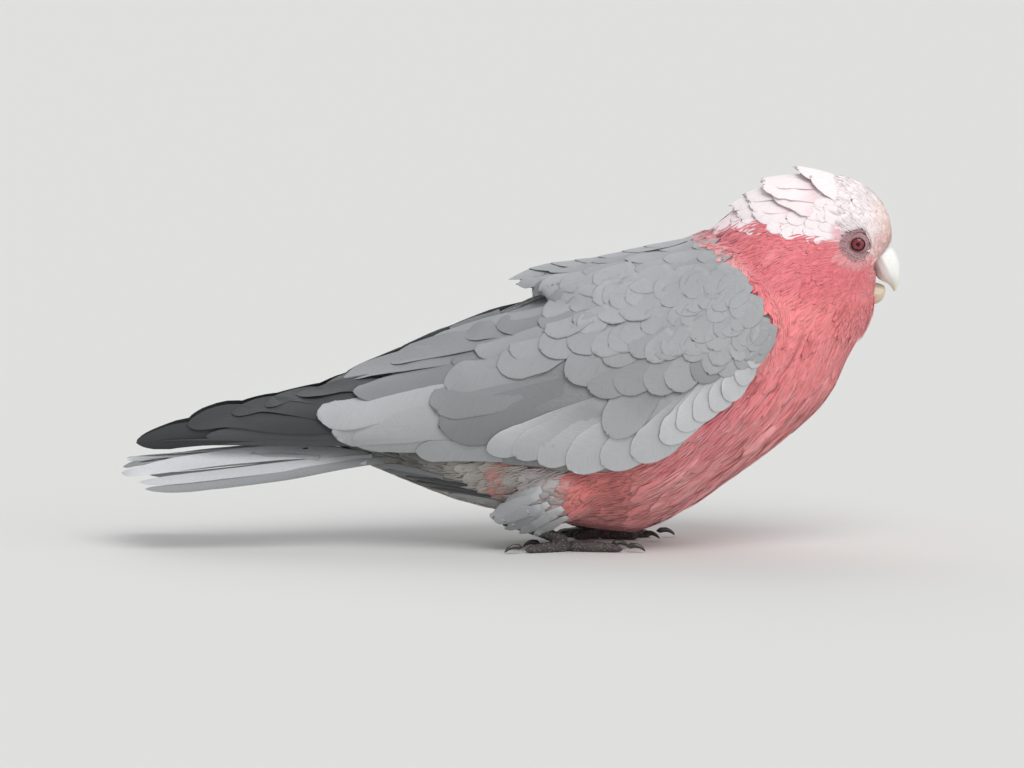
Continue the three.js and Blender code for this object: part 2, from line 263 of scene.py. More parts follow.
# %% Smooth forms from the nodes
def smooth_form(name, names, voxel, rounds):
    """The nodes as one closed, smoothed bmesh."""
    piece = new_object(name, joined_copy(names))
    change = piece.modifiers.new("one_surface", "REMESH")
    change.mode = "VOXEL"
    change.voxel_size = voxel * MM
    view = bpy.context.evaluated_depsgraph_get()
    shape = bmesh.new()
    shape.from_mesh(piece.evaluated_get(view).to_mesh())
    bpy.data.objects.remove(piece)
    soften(shape, rounds)
    shape.normal_update()
    print(name, "has", len(shape.faces), "faces")
    return shape


FLESH = ["trunk", "neck", "head", "thigh_left", "thigh_right"]
flesh_form = smooth_form("flesh", FLESH, voxel=1.3, rounds=5)
flesh = BVHTree.FromBMesh(flesh_form)
WING_NODES = ["mantle", "wing_coverts", "wing_flight", "wing_tip"]
wing_form, wing, wing_bed, mantle_bed = {}, {}, {}, {}
for side in SIDES:
    names = [f"{node}_{side}" for node in WING_NODES]
    wing_form[side] = smooth_form(f"wing_{side}", names, voxel=1.2, rounds=5)
    wing[side] = BVHTree.FromBMesh(wing_form[side])
    wing_bed[side] = BVHTree.FromBMesh(joined_copy(names[1:]))
    mantle_bed[side] = BVHTree.FromBMesh(joined_copy(names[:2]))
tail_bed = BVHTree.FromBMesh(joined_copy(["tail"]))
BODY = FLESH + [f"{node}_{side}" for node in WING_NODES[:2] for side in SIDES]
body_form = smooth_form("body", BODY, voxel=1.3, rounds=6)
body = BVHTree.FromBMesh(body_form)

# %% [markdown]
# ## The lie of the coat
# On a real bird feathers grow in streams: back over the crown, down the throat, along the belly.
# Combing a particle system by hand could draw such streams, but nothing could be read back from it.
# So a few stations on the right side give the way the feathers point there, how long and broad they
# are, and how closely they stand. Any other place takes a blend of the stations near it.

# %% Stations of the coat
# x, y, z of the place | the way the feathers point | length, half width, spacing
STATIONS = np.array([
    (161, -4, 134, -0.35, -0.25, 0.90, 5.0, 1.5, 1.5),
    (155, -15, 127, -0.55, -0.35, 0.50, 3.4, 1.1, 1.2),
    (153, -9, 147, -0.80, -0.15, 0.60, 8.0, 2.3, 2.2),
    (135, -12, 155, -1.00, -0.15, 0.05, 12.0, 3.6, 3.3),
    (128, -23, 142, -0.97, 0.00, -0.25, 10.0, 3.4, 3.0),
    (108, -20, 147, -0.92, 0.00, -0.35, 13.0, 4.0, 3.6),
    (88, -12, 135, -0.80, 0.00, -0.60, 12.0, 3.2, 3.2),
    (146, -21, 138, -0.92, -0.15, 0.35, 4.6, 1.4, 1.5),
    (134, -24, 128, -1.00, 0.00, -0.20, 6.5, 1.3, 1.5),
    (147, -22, 120, -0.80, -0.15, -0.55, 3.6, 1.1, 1.2),
    (135, -27, 114, -0.85, 0.00, -0.50, 8.0, 1.8, 1.9),
    (151, -16, 108, -0.45, -0.25, -0.85, 5.5, 1.4, 1.5),
    (148, -8, 96, -0.25, -0.10, -0.95, 11.0, 2.3, 2.1),
    (115, -33, 115, -0.80, 0.00, -0.60, 11.0, 2.3, 2.4),
    (116, -36, 95, -0.55, 0.00, -0.85, 15.0, 3.2, 3.2),
    (95, -25, 120, -0.70, 0.00, -0.70, 12.0, 3.0, 3.0),
    (138, -10, 80, -0.35, -0.15, -0.95, 15.0, 3.2, 3.2),
    (120, -25, 62, -0.55, -0.10, -0.85, 19.0, 3.6, 3.6),
    (96, -22, 38, -0.80, 0.00, -0.60, 20.0, 4.0, 3.9),
    (60, -15, 12, -1.00, 0.00, -0.12, 20.0, 4.3, 4.3),
    (45, -36, 30, -0.97, 0.00, -0.25, 17.0, 3.8, 3.9),
    (78, -40, 52, -0.75, 0.00, -0.65, 18.0, 3.8, 3.7),
    (15, -15, 10, -1.00, 0.00, 0.08, 18.0, 4.3, 4.3),
    (0, -26, 22, -0.80, 0.00, -0.45, 11.0, 3.0, 3.0),
    (-35, -12, 24, -1.00, 0.00, 0.22, 17.0, 4.0, 4.0),
    (-65, -6, 36, -1.00, 0.00, 0.10, 20.0, 4.4, 4.4),
    (-20, -10, 90, -0.95, 0.00, -0.35, 16.0, 5.0, 4.8),
    (40, -10, 114, -1.00, 0.00, -0.20, 16.0, 5.4, 5.0),
])
WAY, SIZE, HALF_WIDTH, SPACING = [3, 4, 5], [6, 7], [7], [8]  # columns of the table
HEAD_SIDE = 12  # places of the head further out than this lie on its side
EYE = np.array([145.2, -19.5, 129.4])
eye_low, eye_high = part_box("eye_right")
EYE[1] = (eye_low.y + eye_high.y) / 2 / MM
EYE_RADIUS = (eye_high.z - eye_low.z) / 2 / MM
print("eye at", EYE.round(1), "radius", round(EYE_RADIUS, 2))


def by_nearness(gap, ease, power, table):
    """Blends a table's rows by nearness. The ease keeps the nearest row from ruling alone."""
    weight = 1 / (gap**2 + ease**2) ** power
    weight /= weight.sum(1, keepdims=True)
    return weight @ table


def station_blend(points, columns):
    """Blends some columns of the stations at each point."""
    folded = np.column_stack([points[:, 0], -np.abs(points[:, 1]), points[:, 2]])
    gap = np.linalg.norm(folded[:, None] - STATIONS[None, :, :3], axis=2)
    return by_nearness(gap, 3, 1.6, STATIONS[:, columns])


def lie_of_coat(points):
    """The way feathers point at each place, bent away round the eye."""
    way = station_blend(points, WAY)
    way[:, 1] *= np.where(points[:, 1] > 0, -1, 1)
    out = points - EYE * [1, 0, 1]
    out[:, 1] = 0
    reach = np.linalg.norm(out, axis=1, keepdims=True)
    bend = 1.3 * np.exp(-((reach / 9.5) ** 2)) * (np.abs(points[:, 1:2]) > HEAD_SIDE)
    way = way + bend * out / np.maximum(reach, 1e-6)
    return way / np.linalg.norm(way, axis=1, keepdims=True)


def coat_depth(points):
    """How deep the skin lies under the feathers' outer surface: deeper where they are broad."""
    return 0.45 + 0.52 * station_blend(points, HALF_WIDTH)[:, 0]


def step(value, low, high):
    """0 below low, 1 above high, and smooth between them."""
    share = np.clip((value - low) / (high - low), 0, 1)
    return share * share * (3 - 2 * share)


def fall(value, low, high):
    """1 below low, 0 above high, and smooth between them."""
    return step(-value, -high, -low)


def drift(points, size, seed, count=9):
    """A smooth random value at each place, from -1 to 1, the mean of some waves of about one size."""
    dice = np.random.default_rng(seed)
    waves = dice.normal(size=(count, 3)) / size * 2.2
    turns = dice.uniform(0, 2 * math.pi, count)
    return np.sin(points @ waves.T + turns).mean(1) * 1.6


def streaks(points, way, width, seed):
    """A smooth random value that is drawn out along one way in side view."""
    along = points[:, 0] * way[0] + points[:, 2] * way[1]
    across = points[:, 0] * way[1] - points[:, 2] * way[0]
    return drift(np.stack([across, points[:, 1], 0.2 * along], 1), width, seed)


DOWN_BREAST = (-0.5, -0.87)  # a way in side view: back along X and down along Z


def furrows(points):
    """Where neck and breast part into long clumps: 1 in a furrow, 0 on a clump."""
    share = step(streaks(points, DOWN_BREAST, 2.6, 31), 0.1, 0.75)
    return share * step(points[:, 0], 84, 98) * (0.2 + 0.8 * fall(points[:, 2], 84, 110))


def clumps(points):
    """Where the breast's feathers hang together and stand out: 1 on a clump."""
    share = step(streaks(points, (-0.6, -0.8), 4.5, 35), 0.0, 0.7)
    return share * step(points[:, 0], 56, 74) * fall(points[:, 2], 64, 84)


print("lie of the coat:", len(STATIONS), "stations")

# %% [markdown]
# ## The markings
# A galah wears a pale cap, rose on face, neck and breast, and grey on back, thighs and vent. Each
# tract could have a colour of its own, but then the markings would end in hard steps where tracts
# meet. Skin and coat wear the same markings, so one function of the place colours both. The edges
# are short lines in side view, softened and made a little uneven. The same function paints some
# light and shade as well: a lighter front of the lower neck, darker furrows on the breast, and a
# darker vent under the tail.

# %% Colours and edges of the markings
ROSE = paint(238, 130, 138)
ROSE_DEEP = paint(228, 112, 118)
ROSE_PALE = paint(244, 158, 164)
BREAST_WORN = paint(222, 152, 148)
BREAST_PALE = paint(244, 196, 192)
FLANK_RED = paint(204, 112, 106)
CAP_WHITE = paint(243, 231, 232)
CAP_EDGE = paint(226, 176, 182)
CAP_PEACH = paint(240, 212, 203)
LORE_ROSE = paint(220, 172, 165)
RING_ROSE = paint(232, 164, 166)
ROSE_PAINTED_LIGHT = paint(255, 148, 150)
FURROW_PAINTED_SHADE = paint(190, 84, 88)
NAPE_PLUM = paint(142, 66, 96)
THIGH_GREY = paint(180, 172, 170)
VENT_GREY = paint(176, 170, 163)
VENT_PAINTED_SHADE = paint(100, 98, 95)
BACK_GREY = paint(170, 173, 177)
# the cap's lower edge, the wing's front edge, and where the back's grey begins
CAP_EDGE_X = [60, 81, 92, 102, 112, 117.5, 126, 137.5, 141, 150.6, 154, 170]
CAP_EDGE_Z = [128, 134, 139, 139.5, 140, 137.5, 133.5, 130.5, 131.5, 127, 120.5, 118]
WING_EDGE_Z = [56, 62, 74, 91, 101, 122, 129, 134]
WING_EDGE_X = [86, 90, 98, 106.5, 111, 94, 86, 72]
GREY_EDGE_Z = [-60, 30, 76, 112, 124, 132, 140]
GREY_EDGE_X = [-20, -10, 20, 60, 76, 73, 68]


def grey(level):
    """The faintly blue grey of wings, back and tail."""
    return paint(level - 1, level, level + 2)


def over(base, colour, share):
    """One colour laid over others, with its own share at every point."""
    return base + (colour - base) * np.asarray(share)[:, None]


def ahead_of_wing(points):
    """How far each place lies in front of the folded wing's front edge."""
    return points[:, 0] - np.interp(points[:, 2], WING_EDGE_Z, WING_EDGE_X)


print("cap's edge runs through", len(CAP_EDGE_X), "points")


# %% Markings
def markings_and_painted_light(points):
    """The coat's colour at each place, in linear light, with painted light and shade in places."""
    x, z = points[:, 0], points[:, 2]
    out = np.abs(points[:, 1])
    # steps and falls run over millimetres, of x, of z, or of the distance from an edge
    uneven = drift(points, 5, 1)
    calm = 1 - 0.65 * step(x, 108, 118) * step(z, 94, 104)
    colour = over(np.tile(ROSE, (len(points), 1)), ROSE_DEEP, step(uneven, 0.1, 0.8) * 0.6 * calm)
    colour = over(colour, ROSE_PALE, step(drift(points, 9, 2), 0.1, 0.9) * 0.6 * calm)
    # painted light: a lighter rose on the front of the lower neck and breast, which face down into
    # shade
    colour = over(colour, ROSE_PAINTED_LIGHT, 0.8 * step(x, 90, 104) * fall(z, 104, 114))
    cheek = step(x, 118, 128) * step(z, 100, 108) * fall(z, 120, 130)
    colour = over(colour, ROSE_DEEP, 0.4 * cheek)
    colour = over(colour, BREAST_WORN, fall(z, 28, 62) * (0.55 + 0.3 * uneven))
    # painted shade: a darker rose in the furrows between the breast's clumps
    colour = over(colour, FURROW_PAINTED_SHADE, furrows(points) * (0.6 + 0.25 * fall(z, 40, 90)))
    fine = step(streaks(points, DOWN_BREAST, 0.9, 34), 0.0, 0.8) * fall(z, 56, 96)
    colour = over(colour, BREAST_PALE, 0.55 * (fine * step(x, 48, 70)))
    nape = step(streaks(points, (-0.9, -0.44), 1.5, 32), 0.1, 0.6) * fall(x, 86, 98)
    colour = over(colour, NAPE_PLUM, nape * step(z, 118, 124) * 0.7)
    fringe = fall(ahead_of_wing(points), 2, 6) * step(z, 115, 119)
    colour = over(colour, BREAST_PALE, 0.45 * fringe)
    colour = over(colour, THIGH_GREY, fall(x, 24, 30) * fall(z, 34, 42))
    flank = step(x, 20, 28) * fall(x, 54, 64) * fall(z, 34, 44) * step(z, 10, 20)
    colour = over(colour, FLANK_RED, 0.8 * flank * step(out, 16, 25))
    colour = over(colour, VENT_GREY, fall(x, -2, 8))
    # painted shade: a dark grey under the tail, from x -18 backwards
    colour = over(colour, VENT_PAINTED_SHADE, fall(x, -36, -18))
    stripe = step(x, -10, -6) * fall(x, -3, 1) * step(z, 17, 24) * step(out, 10, 16)
    broken = step(streaks(points, (-0.9, 0.2), 1.6, 33), -0.4, 0.3)
    colour = over(colour, FLANK_RED, stripe * broken * 0.75)
    above = z - np.interp(x, CAP_EDGE_X, CAP_EDGE_Z) + 1.2 * uneven
    colour = over(colour, CAP_WHITE, step(above, -1.0, 1.6))
    colour = over(colour, CAP_EDGE, 0.45 * fall(x, 92, 112) * step(above, -1, 1.6))
    colour = over(colour, CAP_PEACH, step(x, 151, 160) * fall(z, 132, 152) * step(above, -1, 1))
    lore = step(x, 149, 155) * fall(z, 126, 134) * step(z, 112, 120)
    colour = over(colour, LORE_ROSE, lore * 0.9)
    ring = np.linalg.norm(points[:, [0, 2]] - (EYE + [-0.5, 0, -1])[[0, 2]], axis=1)
    colour = over(colour, RING_ROSE, fall(ring, 8.0, 10.2) * fall(above, -2, 1) * 0.8)
    behind = np.interp(z, GREY_EDGE_Z, GREY_EDGE_X) - x + 1.5 * uneven
    return over(colour, BACK_GREY, step(behind, -1, 1) * step(z, 60, 70))


print("markings ready, at the eye", markings_and_painted_light(EYE[None])[0].round(2))

# %% [markdown]
# ## The unwrap that places each tuft's patch
# When colours are baked, every tuft takes the colour of one small patch. An automatic unwrap would
# scatter thousands of blades over the map. Here the patch sits at the tuft's root on an unwrap of
# the bird's own shape, so that neighbours stay neighbours: how far along the body's midline it is,
# from tail to bill, and at which angle round that line.

# %% Unwrap round the midline
MIDLINE = np.array([(-166, 40), (-110, 43), (-60, 50), (0, 58), (55, 70), (96, 92), (120, 112),
                    (140, 130), (166, 138)], float)
LEGS = np.diff(MIDLINE, axis=0)
LEG_LENGTHS = np.linalg.norm(LEGS, axis=1)
STARTS = np.concatenate([[0], np.cumsum(LEG_LENGTHS)])
MAP_EDGE = 0.01  # left free round the map
PATCH = 0.003    # side of a tuft's patch on the map


def unwrap(points):
    """U along the midline and V round it, both from 0 to 1."""
    flat = points[:, [0, 2]]
    offset = flat[:, None] - MIDLINE[None, :-1]
    share = np.clip((offset * LEGS).sum(2) / LEG_LENGTHS**2, 0, 1)
    nearest = MIDLINE[None, :-1] + share[..., None] * LEGS
    gaps = np.linalg.norm(flat[:, None] - nearest, axis=2)
    best = gaps.argmin(1)
    rows = np.arange(len(points))
    along = STARTS[best] + share[rows, best] * LEG_LENGTHS[best]
    across = LEGS[best][:, ::-1] * [-1, 1] / LEG_LENGTHS[best][:, None]
    height = ((flat - nearest[rows, best]) * across).sum(1)
    angle = np.arctan2(points[:, 1], height)
    used = 1 - 2 * MAP_EDGE
    return np.stack([MAP_EDGE + used * along / STARTS[-1], 0.5 + angle / (2 * math.pi) * used], 1)


print("midline", round(STARTS[-1]), "mm long")

# %% [markdown]
# ## One feather, many feathers
# A feather is a thin closed blade. Blades could be instances of one object, but then all would have
# one bend, and on a curved body their corners would stick out. So each is shaped for its own place.
# Its pattern is a small grid, thickened, whose columns run from root to tip and whose rows run
# across. Its midline is walked over the ground surface from the root, and the pattern is bent along
# that walk, with its own width, arch and height. All feathers of a tract become one mesh, with two
# maps: where on the feather a point is, and the patch for the baking.

# %% The blade pattern
VANE_UNIT = 0.1  # the feather's own map counts in centimetres
EDGE = 0.9       # a point further across than this is on the vane's rim


def blade_pattern(along, across):
    """Column, place across and side of each point of a thickened grid, and its faces."""
    blade = bmesh.new()
    bmesh.ops.create_grid(blade, x_segments=along, y_segments=across, size=1)
    bmesh.ops.solidify(blade, geom=blade.faces[:], thickness=0.5)
    bmesh.ops.recalc_face_normals(blade, faces=blade.faces[:])
    spots = np.array([v.co for v in blade.verts])
    faces = np.array([[v.index for v in face.verts] for face in blade.faces])
    blade.free()
    column = np.rint((spots[:, 0] + 1) / 2 * along).astype(int)
    top = (spots[:, 2] > spots[:, 2].mean()).astype(float)
    sideways = np.sign(spots[:, 1]) * (1 - (1 - np.abs(spots[:, 1])) ** 2.4)
    return column, sideways, top, faces


def columns_of(along):
    """Places of the columns from root, 0, to tip, 1, closer together at the tip."""
    return 1 - (1 - np.linspace(0, 1, along + 1)) ** (1.5 if along < 10 else 1.9)


def outline_of(columns, lengths, half, taper, root=0.35):
    """Half width along each blade: the tip's rounding starts some half widths before its end."""
    grow = root + (1 - root) * step(columns, 0, 0.5)
    reach = np.minimum(taper * half, 0.75 * lengths)
    end = np.clip(1 - (1 - columns)[None] * (lengths / reach)[:, None], 0, 1)
    return half[:, None] * grow * np.sqrt(np.maximum(1 - end**2, 0.0004))


print("a blade of 5 by 2 cells has", len(blade_pattern(5, 2)[3]), "faces")


# %% Walking over the ground
FEEL = 0.7  # share of the half width at which the ground is felt beside a midline


def eased(values, rounds):
    """Evens out values along each path, with both ends kept."""
    for _ in range(rounds):
        values[:, 1:-1] = (values[:, :-2] + 2 * values[:, 1:-1] + values[:, 2:]) / 4
    return values


def unit(vectors):
    """The same directions with length 1, for vectors in rows of rows."""
    return vectors / np.maximum(np.linalg.norm(vectors, axis=2, keepdims=True), 1e-9)


def walk(ground, roots, ways, lengths, columns, half=None):
    """Walks every midline over the ground, and gives its places and the ground's normals.

    With half widths given, it also feels how far the ground falls away on both sides."""
    places = np.zeros((len(roots), len(columns), 3))
    normals = np.zeros_like(places)
    strides = np.diff(columns, append=1.0)
    for i, root in enumerate(roots):
        here = Vector(root * MM)
        way = Vector(ways[i])
        for k, stride in enumerate(strides):
            found, normal, _, _ = ground.find_nearest(here)
            way = (way - normal * way.dot(normal)).normalized()
            places[i, k] = found
            normals[i, k] = normal
            here = found + way * (stride * lengths[i] * MM)
    places, normals = eased(places / MM, 2), eased(normals, 3)
    if half is None:
        return places, normals
    across = unit(np.cross(normals, np.gradient(places, axis=1)))
    curve = np.zeros(places.shape[:2])
    for i, k in np.ndindex(curve.shape):
        for share in (-FEEL, FEEL):
            beside = places[i, k] + across[i, k] * (share * half[i])
            found = np.array(ground.find_nearest(Vector(beside * MM))[0]) / MM
            fallen = -(found - beside) @ normals[i, k]
            curve[i, k] += max(fallen, -0.1 * half[i]) / 0.98  # twice FEEL squared
    return places, normals, eased(np.clip(curve, -0.1 * half[:, None], 0.4 * half[:, None]), 3)


def shingled(past, top=0.0, slope=0.035, deepest=2.4):
    """Height of a feather this far from its tip: it dips below the feathers that lie over it."""
    return top - deepest * (1 - np.exp(-slope * past / deepest))


print("dip 10 mm behind the tip:", round(float(shingled(10.0)), 2), "mm")


# %% Laying feathers, and one mesh for all of them
def lay(name, path, half, levels, colours, shape, dice, finish, replaced=(), arch=0.1,
        thick=0.12, fray=0.05, shade=(0.9, 1.0), rim=1.0, base=None):
    """Lays feathers along their walked midlines and joins them into one piece."""
    places, normals = path[:2]
    count = len(places)
    along, across, taper, root = shape
    columns = columns_of(along)
    column, sideways, top, faces = blade_pattern(along, across)
    ahead = unit(np.gradient(places, axis=1))
    across_way = unit(np.cross(normals, ahead))
    length = np.linalg.norm(np.diff(places, axis=1), axis=2).sum(1)
    width = outline_of(columns, length, half, taper, root)
    ragged = 1 + fray * dice.normal(size=(count, along + 1, 2))
    edge = np.where(sideways > 0, ragged[:, column, 1], ragged[:, column, 0])
    on_rim = np.abs(sideways) > EDGE
    reach = width[:, column] * sideways * np.where(on_rim, edge, 1)
    body = thick * (0.3 + 0.7 * (1 - sideways**2)) * (1 - 0.6 * columns[column])
    lift = levels[:, column] - arch * width[:, column] * sideways**2 - (1 - top) * body
    if len(path) > 2:
        lift -= path[2][:, column] * (reach / half[:, None]) ** 2
    slip = fray * half[:, None] * dice.normal(size=(count, len(column))) * (columns[column] > 0.97)
    points = places[:, column] + across_way[:, column] * reach[..., None]
    points += normals[:, column] * lift[..., None] + ahead[:, column] * slip[..., None]
    # From root to tip the tone runs from the first shade to the second; where the root is the darker,
    # that is painted shade under the feathers that lie over it.
    tone = shade[0] + (shade[1] - shade[0]) * step(columns, 0.1, 0.85)
    tone = tone[column] * (1 + (rim - 1) * on_rim)
    tints = colours[:, None] * tone[None, :, None]
    if base is not None:
        hidden = 1 - step(columns[column], 0.2, 0.55)
        tints = tints + (base - tints) * hidden[None, :, None]
    vane = np.stack([reach * VANE_UNIT, columns[column] * length[:, None] * VANE_UNIT], 2)
    patch = unwrap(places[:, 0])[:, None] + PATCH * np.stack(
        [np.tile(columns[column] - 0.5, (count, 1)), np.tile(sideways / 2, (count, 1))], 2)
    flat = top[faces].min(1) == top[faces].max(1)
    return joined_mesh(name, points * MM, tints, {"vane": vane, "OFBake": patch}, faces, flat,
                       finish, replaced)


def joined_mesh(name, points, tints, maps, faces, smooth, finish, replaced):
    """Writes many copies of one pattern into one mesh."""
    count, size = points.shape[:2]
    corners = (faces[None] + (np.arange(count) * size)[:, None, None]).reshape(-1)
    data = bpy.data.meshes.new(name)
    data.vertices.add(count * size)
    data.vertices.foreach_set("co", points.reshape(-1).astype(np.float32))
    data.loops.add(len(corners))
    data.loops.foreach_set("vertex_index", corners.astype(np.int32))
    data.polygons.add(count * len(faces))
    data.polygons.foreach_set("loop_start", np.arange(0, len(corners), 4, dtype=np.int32))
    data.update(calc_edges=True)
    data.validate()
    data.polygons.foreach_set("use_smooth", np.tile(smooth, count))
    for key, values in maps.items():
        layer = data.uv_layers.new(name=key)
        layer.data.foreach_set("uv", values.reshape(-1, 2)[corners].reshape(-1).astype(np.float32))
    keep_tint(data, tints)
    print(name, count, "feathers,", 2 * len(data.polygons), "triangles")
    return dressed(placed(name, data), finish, replaced)


# %% [markdown]
# ## Plumage as a material
# Up close a vane is a comb of fine barbs that slant from the shaft to the edge. Modelled one by one
# they would be millions, so the finish draws them. It takes each point's own colour, lays faint
# slanted streaks over it by the feather's own map, and raises the shaft a little. Soft body feathers
# get a sheen, and stiff flight feathers less of it.

# %% Plumage finishes
def plumage(name, roughness, streak, sheen, comb=0.25, shaft=0.35):
    """A feather's finish, read from its own map and the colours of its points."""
    f = Finish(name)
    spot = f.make("ShaderNodeUVMap", {"uv_map": "vane"})
    across, along, _ = f.parts(spot)
    slant = along - across.size() * 0.9
    hairs = f.noise(f.joined(across * 2.0, slant * 26.0), 1.0, 3.0)
    barbs = (slant * 250.0 + hairs * 6.0).sine()
    rib = 1 - across.size().ramp(0.004, 0.03)
    dim = 1 - (hairs.ramp(0.45, 0.75) * streak)
    shade = f.make("ShaderNodeCombineColor", inputs=[dim, dim, dim])
    height = barbs * comb + hairs * 1.2 + rib * shaft
    return f.done(Base_Color=f.blend(1.0, f.tint(), shade, "MULTIPLY"),
                  Roughness=hairs * 0.16 + (roughness - 0.08),
                  Normal=f.bump(height, 0.00012, 0.6), Sheen_Weight=sheen, Sheen_Roughness=0.6,
                  Specular_IOR_Level=0.2)


SOFT = plumage("soft_plumage", roughness=0.85, streak=0.14, sheen=0.3, comb=0.06, shaft=0.1)
SMOOTH = plumage("smooth_plumage", roughness=0.72, streak=0.12, sheen=0.15, comb=0.2)
STIFF = plumage("stiff_plumage", roughness=0.55, streak=0.14, sheen=0.05, shaft=1.0)
print("plumage finishes ready")

# %% [markdown]
# ## The bare ring round the eye
# A galah's eye looks out of a drop-shaped ring of bare skin in fine folds, with a thick margin at
# the lids. A bump in the finish would draw the folds, but the ring's edge and the lid have to stand
# clear of the eye. So the ring is a fine polar grid whose points are raised fold by fold.

# %% The ring's outline
# angle in degrees, from straight ahead and upwards | how far the ring reaches
RING = [(0, 4.9), (30, 5.3), (60, 5.7), (90, 5.5), (120, 5.4), (150, 6.2), (172, 7.3), (195, 7.0),
        (225, 6.5), (260, 7.0), (290, 6.9), (325, 5.7), (360, 4.9)]
LID_OPENING = 2.85
BEAD = 0.2  # height of the lid's margin


def ring_reach(angle):
    """How far the bare ring reaches from the eye's middle, at an angle in degrees."""
    return np.interp(np.mod(angle, 360), [a for a, _ in RING], [r for _, r in RING])


def in_ring(points, grow=1.0):
    """True where a point lies in the ring, or in the ring grown by a factor."""
    offset = (points - EYE)[:, [0, 2]]
    angle = np.degrees(np.arctan2(offset[:, 1], offset[:, 0]))
    near = np.linalg.norm(offset, axis=1) < ring_reach(angle) * grow
    return near & (np.abs(points[:, 1]) > HEAD_SIDE)


def side_of_flesh(x, z):
    """How far out the smooth flesh lies, seen from the right."""
    hit, _, _, _ = flesh.ray_cast(Vector((x, -60, z)) * MM, Vector((0, 1, 0)))
    return hit.y / MM if hit else EYE[1]


print("skin beside the eye lies at", round(side_of_flesh(EYE[0], EYE[2]), 1), "mm")


# %% The ring in folds
def bare_ring(sign):
    """A fine polar grid from the lid's margin to the ring's edge, in folds."""
    rows, turns = 26, 160
    sheet = bmesh.new()
    bmesh.ops.create_grid(sheet, x_segments=turns, y_segments=rows, size=1)
    for vert in sheet.verts:
        angle = (vert.co.x + 1) * math.pi
        share = (vert.co.y + 1) / 2
        far = float(ring_reach(math.degrees(angle))) + 0.5
        lid = LID_OPENING * (1 + 0.05 * math.cos(2 * angle))
        reach = lid + (far - lid) * share
        x = EYE[0] + reach * math.cos(angle)
        z = EYE[2] + reach * math.sin(angle)
        globe = EYE[1] - math.sqrt(max(EYE_RADIUS**2 - min(reach, 3.6) ** 2, 0)) - 0.12
        hold = float(step(share, 0.02, 0.42))
        rim = min(max(reach, 4.4), far)
        skin_y = side_of_flesh(EYE[0] + rim * math.cos(angle), EYE[2] + rim * math.sin(angle))
        level = globe * (1 - hold) + (skin_y + 0.1) * hold
        bulge = EYE[1] - math.sqrt(max((EYE_RADIUS + 0.25) ** 2 - reach**2, 0))
        level = min(level, bulge) if reach < EYE_RADIUS else level
        spot = np.array([[x, 0.0, z]])
        fold = math.sin(share * 27 + 2.2 * drift(spot, 2.4, 11)[0] + 0.6 * math.sin(5 * angle))
        cross = math.sin(angle * 31 + 3.0 * drift(spot, 2.0, 12)[0])
        bead = BEAD * math.exp(-((share / 0.09) ** 2))
        level -= bead + (0.11 * fold + 0.06 * cross) * float(step(share, 0.08, 0.25))
        vert.co = Vector((x, level * -sign, z)) * MM
    weld(sheet)
    bmesh.ops.recalc_face_normals(sheet, faces=sheet.faces[:])
    if sheet.faces[:][0].normal.y * sign < 0:
        bmesh.ops.reverse_faces(sheet, faces=sheet.faces[:])
    return sheet


rings = [bare_ring(sign) for sign in SIDES.values()]
print("each ring has", len(rings[0].faces), "faces")

# %% [markdown]
# ## The skin
# Under the coat lies one skin, and it shows wherever feathers part. The smooth form scaled down would
# pull away from legs and bill. So every point of it is drawn in along its own normal by the coat's
# depth there, and the skin wears the markings a little darker, as painted shade under the coat. It
# runs on under the wings' shoulders, so that no seam shows.

# %% Skin from the smooth form
# the skin wears the markings darkened by this share: painted shade under the coat
SKIN_SHADE = 0.85
UNDER_WING = 1.35  # depth of the skin where a wing lies over it, or a share of the form's thickness


def near_wing(points):
    """True where a point lies on one of the folded wings."""
    gaps = [[wing[side].find_nearest(Vector(point * MM))[3] for side in SIDES] for point in points]
    return np.min(gaps, axis=1) < 0.9 * MM


def thickness(form, tree):
    """How far it is through the form below each of its points."""
    through = []
    for vert in form.verts:
        _, _, _, gap = tree.ray_cast(vert.co - vert.normal * 0.2 * MM, -vert.normal, 0.02)
        through.append(20.0 if gap is None else gap / MM)
    return np.array(through)


skin_mesh = body_form.copy()
spots = np.array([v.co for v in skin_mesh.verts]) / MM
on_wing = near_wing(spots)
thin = np.minimum(UNDER_WING, 0.42 * thickness(body_form, body))
depths = np.where(on_wing, thin, coat_depth(spots))
for vert, depth in zip(skin_mesh.verts, depths):
    vert.co -= vert.normal * (depth * MM)
soften(skin_mesh)
flesh_count = len(skin_mesh.verts)
for ring in rings:
    add_to(skin_mesh, ring)
skin = new_object("skin", skin_mesh, smooth=True)
print("skin has", len(skin.data.polygons), "faces, coat up to", round(depths.max(), 1), "mm deep")

# %% The skin's colours
RING_SKIN = paint(168, 132, 134)
RING_DARK = paint(118, 82, 86)
LID_SKIN = paint(110, 70, 74)
spots = np.zeros(len(skin.data.vertices) * 3)
skin.data.vertices.foreach_get("co", spots)
spots = spots.reshape(-1, 3) / MM
shown = markings_and_painted_light(spots) * SKIN_SHADE
# under the wing the skin shows a grey darker than the coverts over it: the wing's grey, darkened as
# painted shade
shown[:flesh_count][on_wing & (ahead_of_wing(spots[:flesh_count]) < -3)] = grey(138)
bare = spots[flesh_count:]
bare_shown = over(np.tile(RING_SKIN, (len(bare), 1)), RING_DARK,
                  step(drift(bare, 0.9, 13), -0.2, 0.9) * 0.7)
offset = np.linalg.norm((bare - EYE)[:, [0, 2]], axis=1)
shown[flesh_count:] = over(bare_shown, LID_SKIN,
                           fall(offset, LID_OPENING + 0.1, LID_OPENING + 0.5) * 0.8)
keep_tint(skin.data, shown)
print("colours kept at", len(shown), "points,", len(bare), "of them in the rings")

